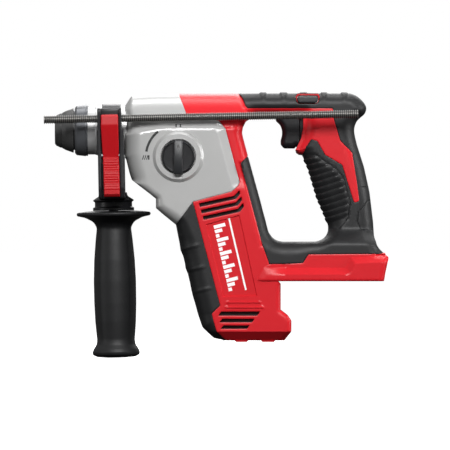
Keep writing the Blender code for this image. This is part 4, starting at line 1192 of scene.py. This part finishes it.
def build_floor(height):
    """Plain pale floor that takes a soft shadow and sends no light back up to the tool."""
    material = bpy.data.materials.new("pale_floor")
    material.use_nodes = True
    tree = material.node_tree
    tree.nodes.clear()
    both = node(tree, "ShaderNodeAddShader")
    feed(tree, both.inputs[0], node(tree, "ShaderNodeEmission", "Emission", Strength=FLOOR_GLOW))
    feed(tree, both.inputs[1], node(tree, "ShaderNodeBsdfDiffuse", "BSDF", Color=(0.85, 0.85, 0.85, 1)))
    node(tree, "ShaderNodeOutputMaterial", Surface=both.outputs["Shader"])
    half = FLOOR_SIZE / 2
    mesh = bpy.data.meshes.new("floor")
    mesh.from_pydata([(*place, height) for place in block(-half, -half, half, half)], [], [(0, 1, 2, 3)])
    mesh.materials.append(material)
    floor = placed("floor", mesh)
    floor.visible_diffuse = False
    floor.visible_glossy = False


def build_stage():
    low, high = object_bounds()
    centre = (Vector(low) + Vector(high)) / 2
    build_floor(low[2] - FLOOR_GAP)
    studio_world()
    for name, place, size, power in SOFTBOXES:
        softbox(f"{name}_softbox", place, centre, size, power)

    camera_data = bpy.data.cameras.new("camera")
    camera_data.sensor_width = SENSOR
    camera_data.lens = SENSOR * VIEW_DISTANCE / VIEW_WIDTH
    camera_data.clip_end = 50
    camera = placed("camera", camera_data)
    camera.location = (VIEW_CENTRE[0] * MM, -VIEW_DISTANCE, VIEW_CENTRE[1] * MM)
    camera.rotation_euler = (pi / 2, 0, 0)
    bpy.context.scene.camera = camera
    bpy.context.scene.view_settings.view_transform = "Standard"


# ---------------------------------------------------------------- outlines that follow from others

def ridged(loop):
    """Top bar outline with its five low ridges."""
    out = [loop[0]]
    for start, end in BAR_RIDGES:
        for x, rise in ((start, 0), (start + 1.4, 1), (end - 1.4, 1), (end, 0)):
            out.append((x, BAR_TOP + rise * RIDGE_HEIGHT, 0.8))
    return out + loop[1:]


def scalloped(loop):
    """Push the grip's front edge out where the ribs cross it."""
    out = []
    for a, b in zip(*segments(loop)):
        near = inside(np.array([a[0], b[0]]), np.array([a[1], b[1]]), RIB_ZONE).any() and a[0] < RIB_REACH
        count = max(1, ceil(np.hypot(*(b - a)) / 0.45)) if near else 1
        out += [a + (b - a) * k / count for k in range(count)]
    x, z = np.array(out).T
    push = RIB_SCALLOP * rib_wave(x, z) * inside(x, z, RIB_ZONE) * (x < RIB_REACH)
    return [tuple(p) for p in np.stack([x - push * 0.95, z - push * 0.3], 1)]


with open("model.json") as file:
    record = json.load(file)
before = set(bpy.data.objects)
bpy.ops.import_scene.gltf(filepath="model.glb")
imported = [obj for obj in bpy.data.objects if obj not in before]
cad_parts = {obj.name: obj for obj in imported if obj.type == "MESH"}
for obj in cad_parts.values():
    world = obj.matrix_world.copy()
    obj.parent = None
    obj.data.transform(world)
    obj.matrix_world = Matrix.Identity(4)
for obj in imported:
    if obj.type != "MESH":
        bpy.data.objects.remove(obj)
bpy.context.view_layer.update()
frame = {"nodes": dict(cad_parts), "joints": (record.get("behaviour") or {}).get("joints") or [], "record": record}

JOINTS = {joint["name"]: joint for joint in frame["joints"]}
KNOB = Vector(JOINTS["knob_turn"]["pos_m"]) / MM
BOSS_NOTCH = [(KNOB.x - 3.4, KNOB.z - 14), (KNOB.x + 3.4, KNOB.z - 14), (KNOB.x + 2.8, KNOB.z - 18.3),
              (KNOB.x - 2.8, KNOB.z - 18.3)]
LEAN_ANGLE = atan2(-JOINTS["depth_rod_slide"]["axis"][2], -JOINTS["depth_rod_slide"]["axis"][0])
LEAN = Matrix.Translation((SIDE_HANDLE_X * MM, 0, 0)) @ Matrix.Rotation(-LEAN_ANGLE, 4, "Y")
HANDLE_RIM = rounded(ridged(TOP_BAR), False)
BUTTON_LOOP = rounded(inset(BUTTON_WINDOW, 0.9))
LOWER_RIM = rounded(LOWER_FRONT_EDGE, False)
COVER_LOOP = rounded([*ridged(TOP_BAR), *COVER[len(TOP_BAR):]])
PANELS = {
    "case": {"loop": rounded(CASE), "face": gear_case_face},
    "body": {"loop": rounded(BODY), "face": body_face},
    "motor_front": {"loop": rounded(MOTOR_FRONT), "face": motor_front_face},
    "cover": {"loop": scalloped(COVER_LOOP), "face": cover_face},
    "blade": {"loop": rounded(BLADE), "face": blade_face},
    "foot": {"loop": rounded(FOOT), "face": foot_face},
}


def main():
    look = make_finishes()
    finish_cad(look)
    build_gear_case(look)
    build_housing(look)
    build_covers(look)
    build_vent_shade_sheets(look)
    build_controls(look)
    build_knob(look)
    build_prints(look)
    build_chuck(look)
    build_side_handle(look)
    build_stage()


main()
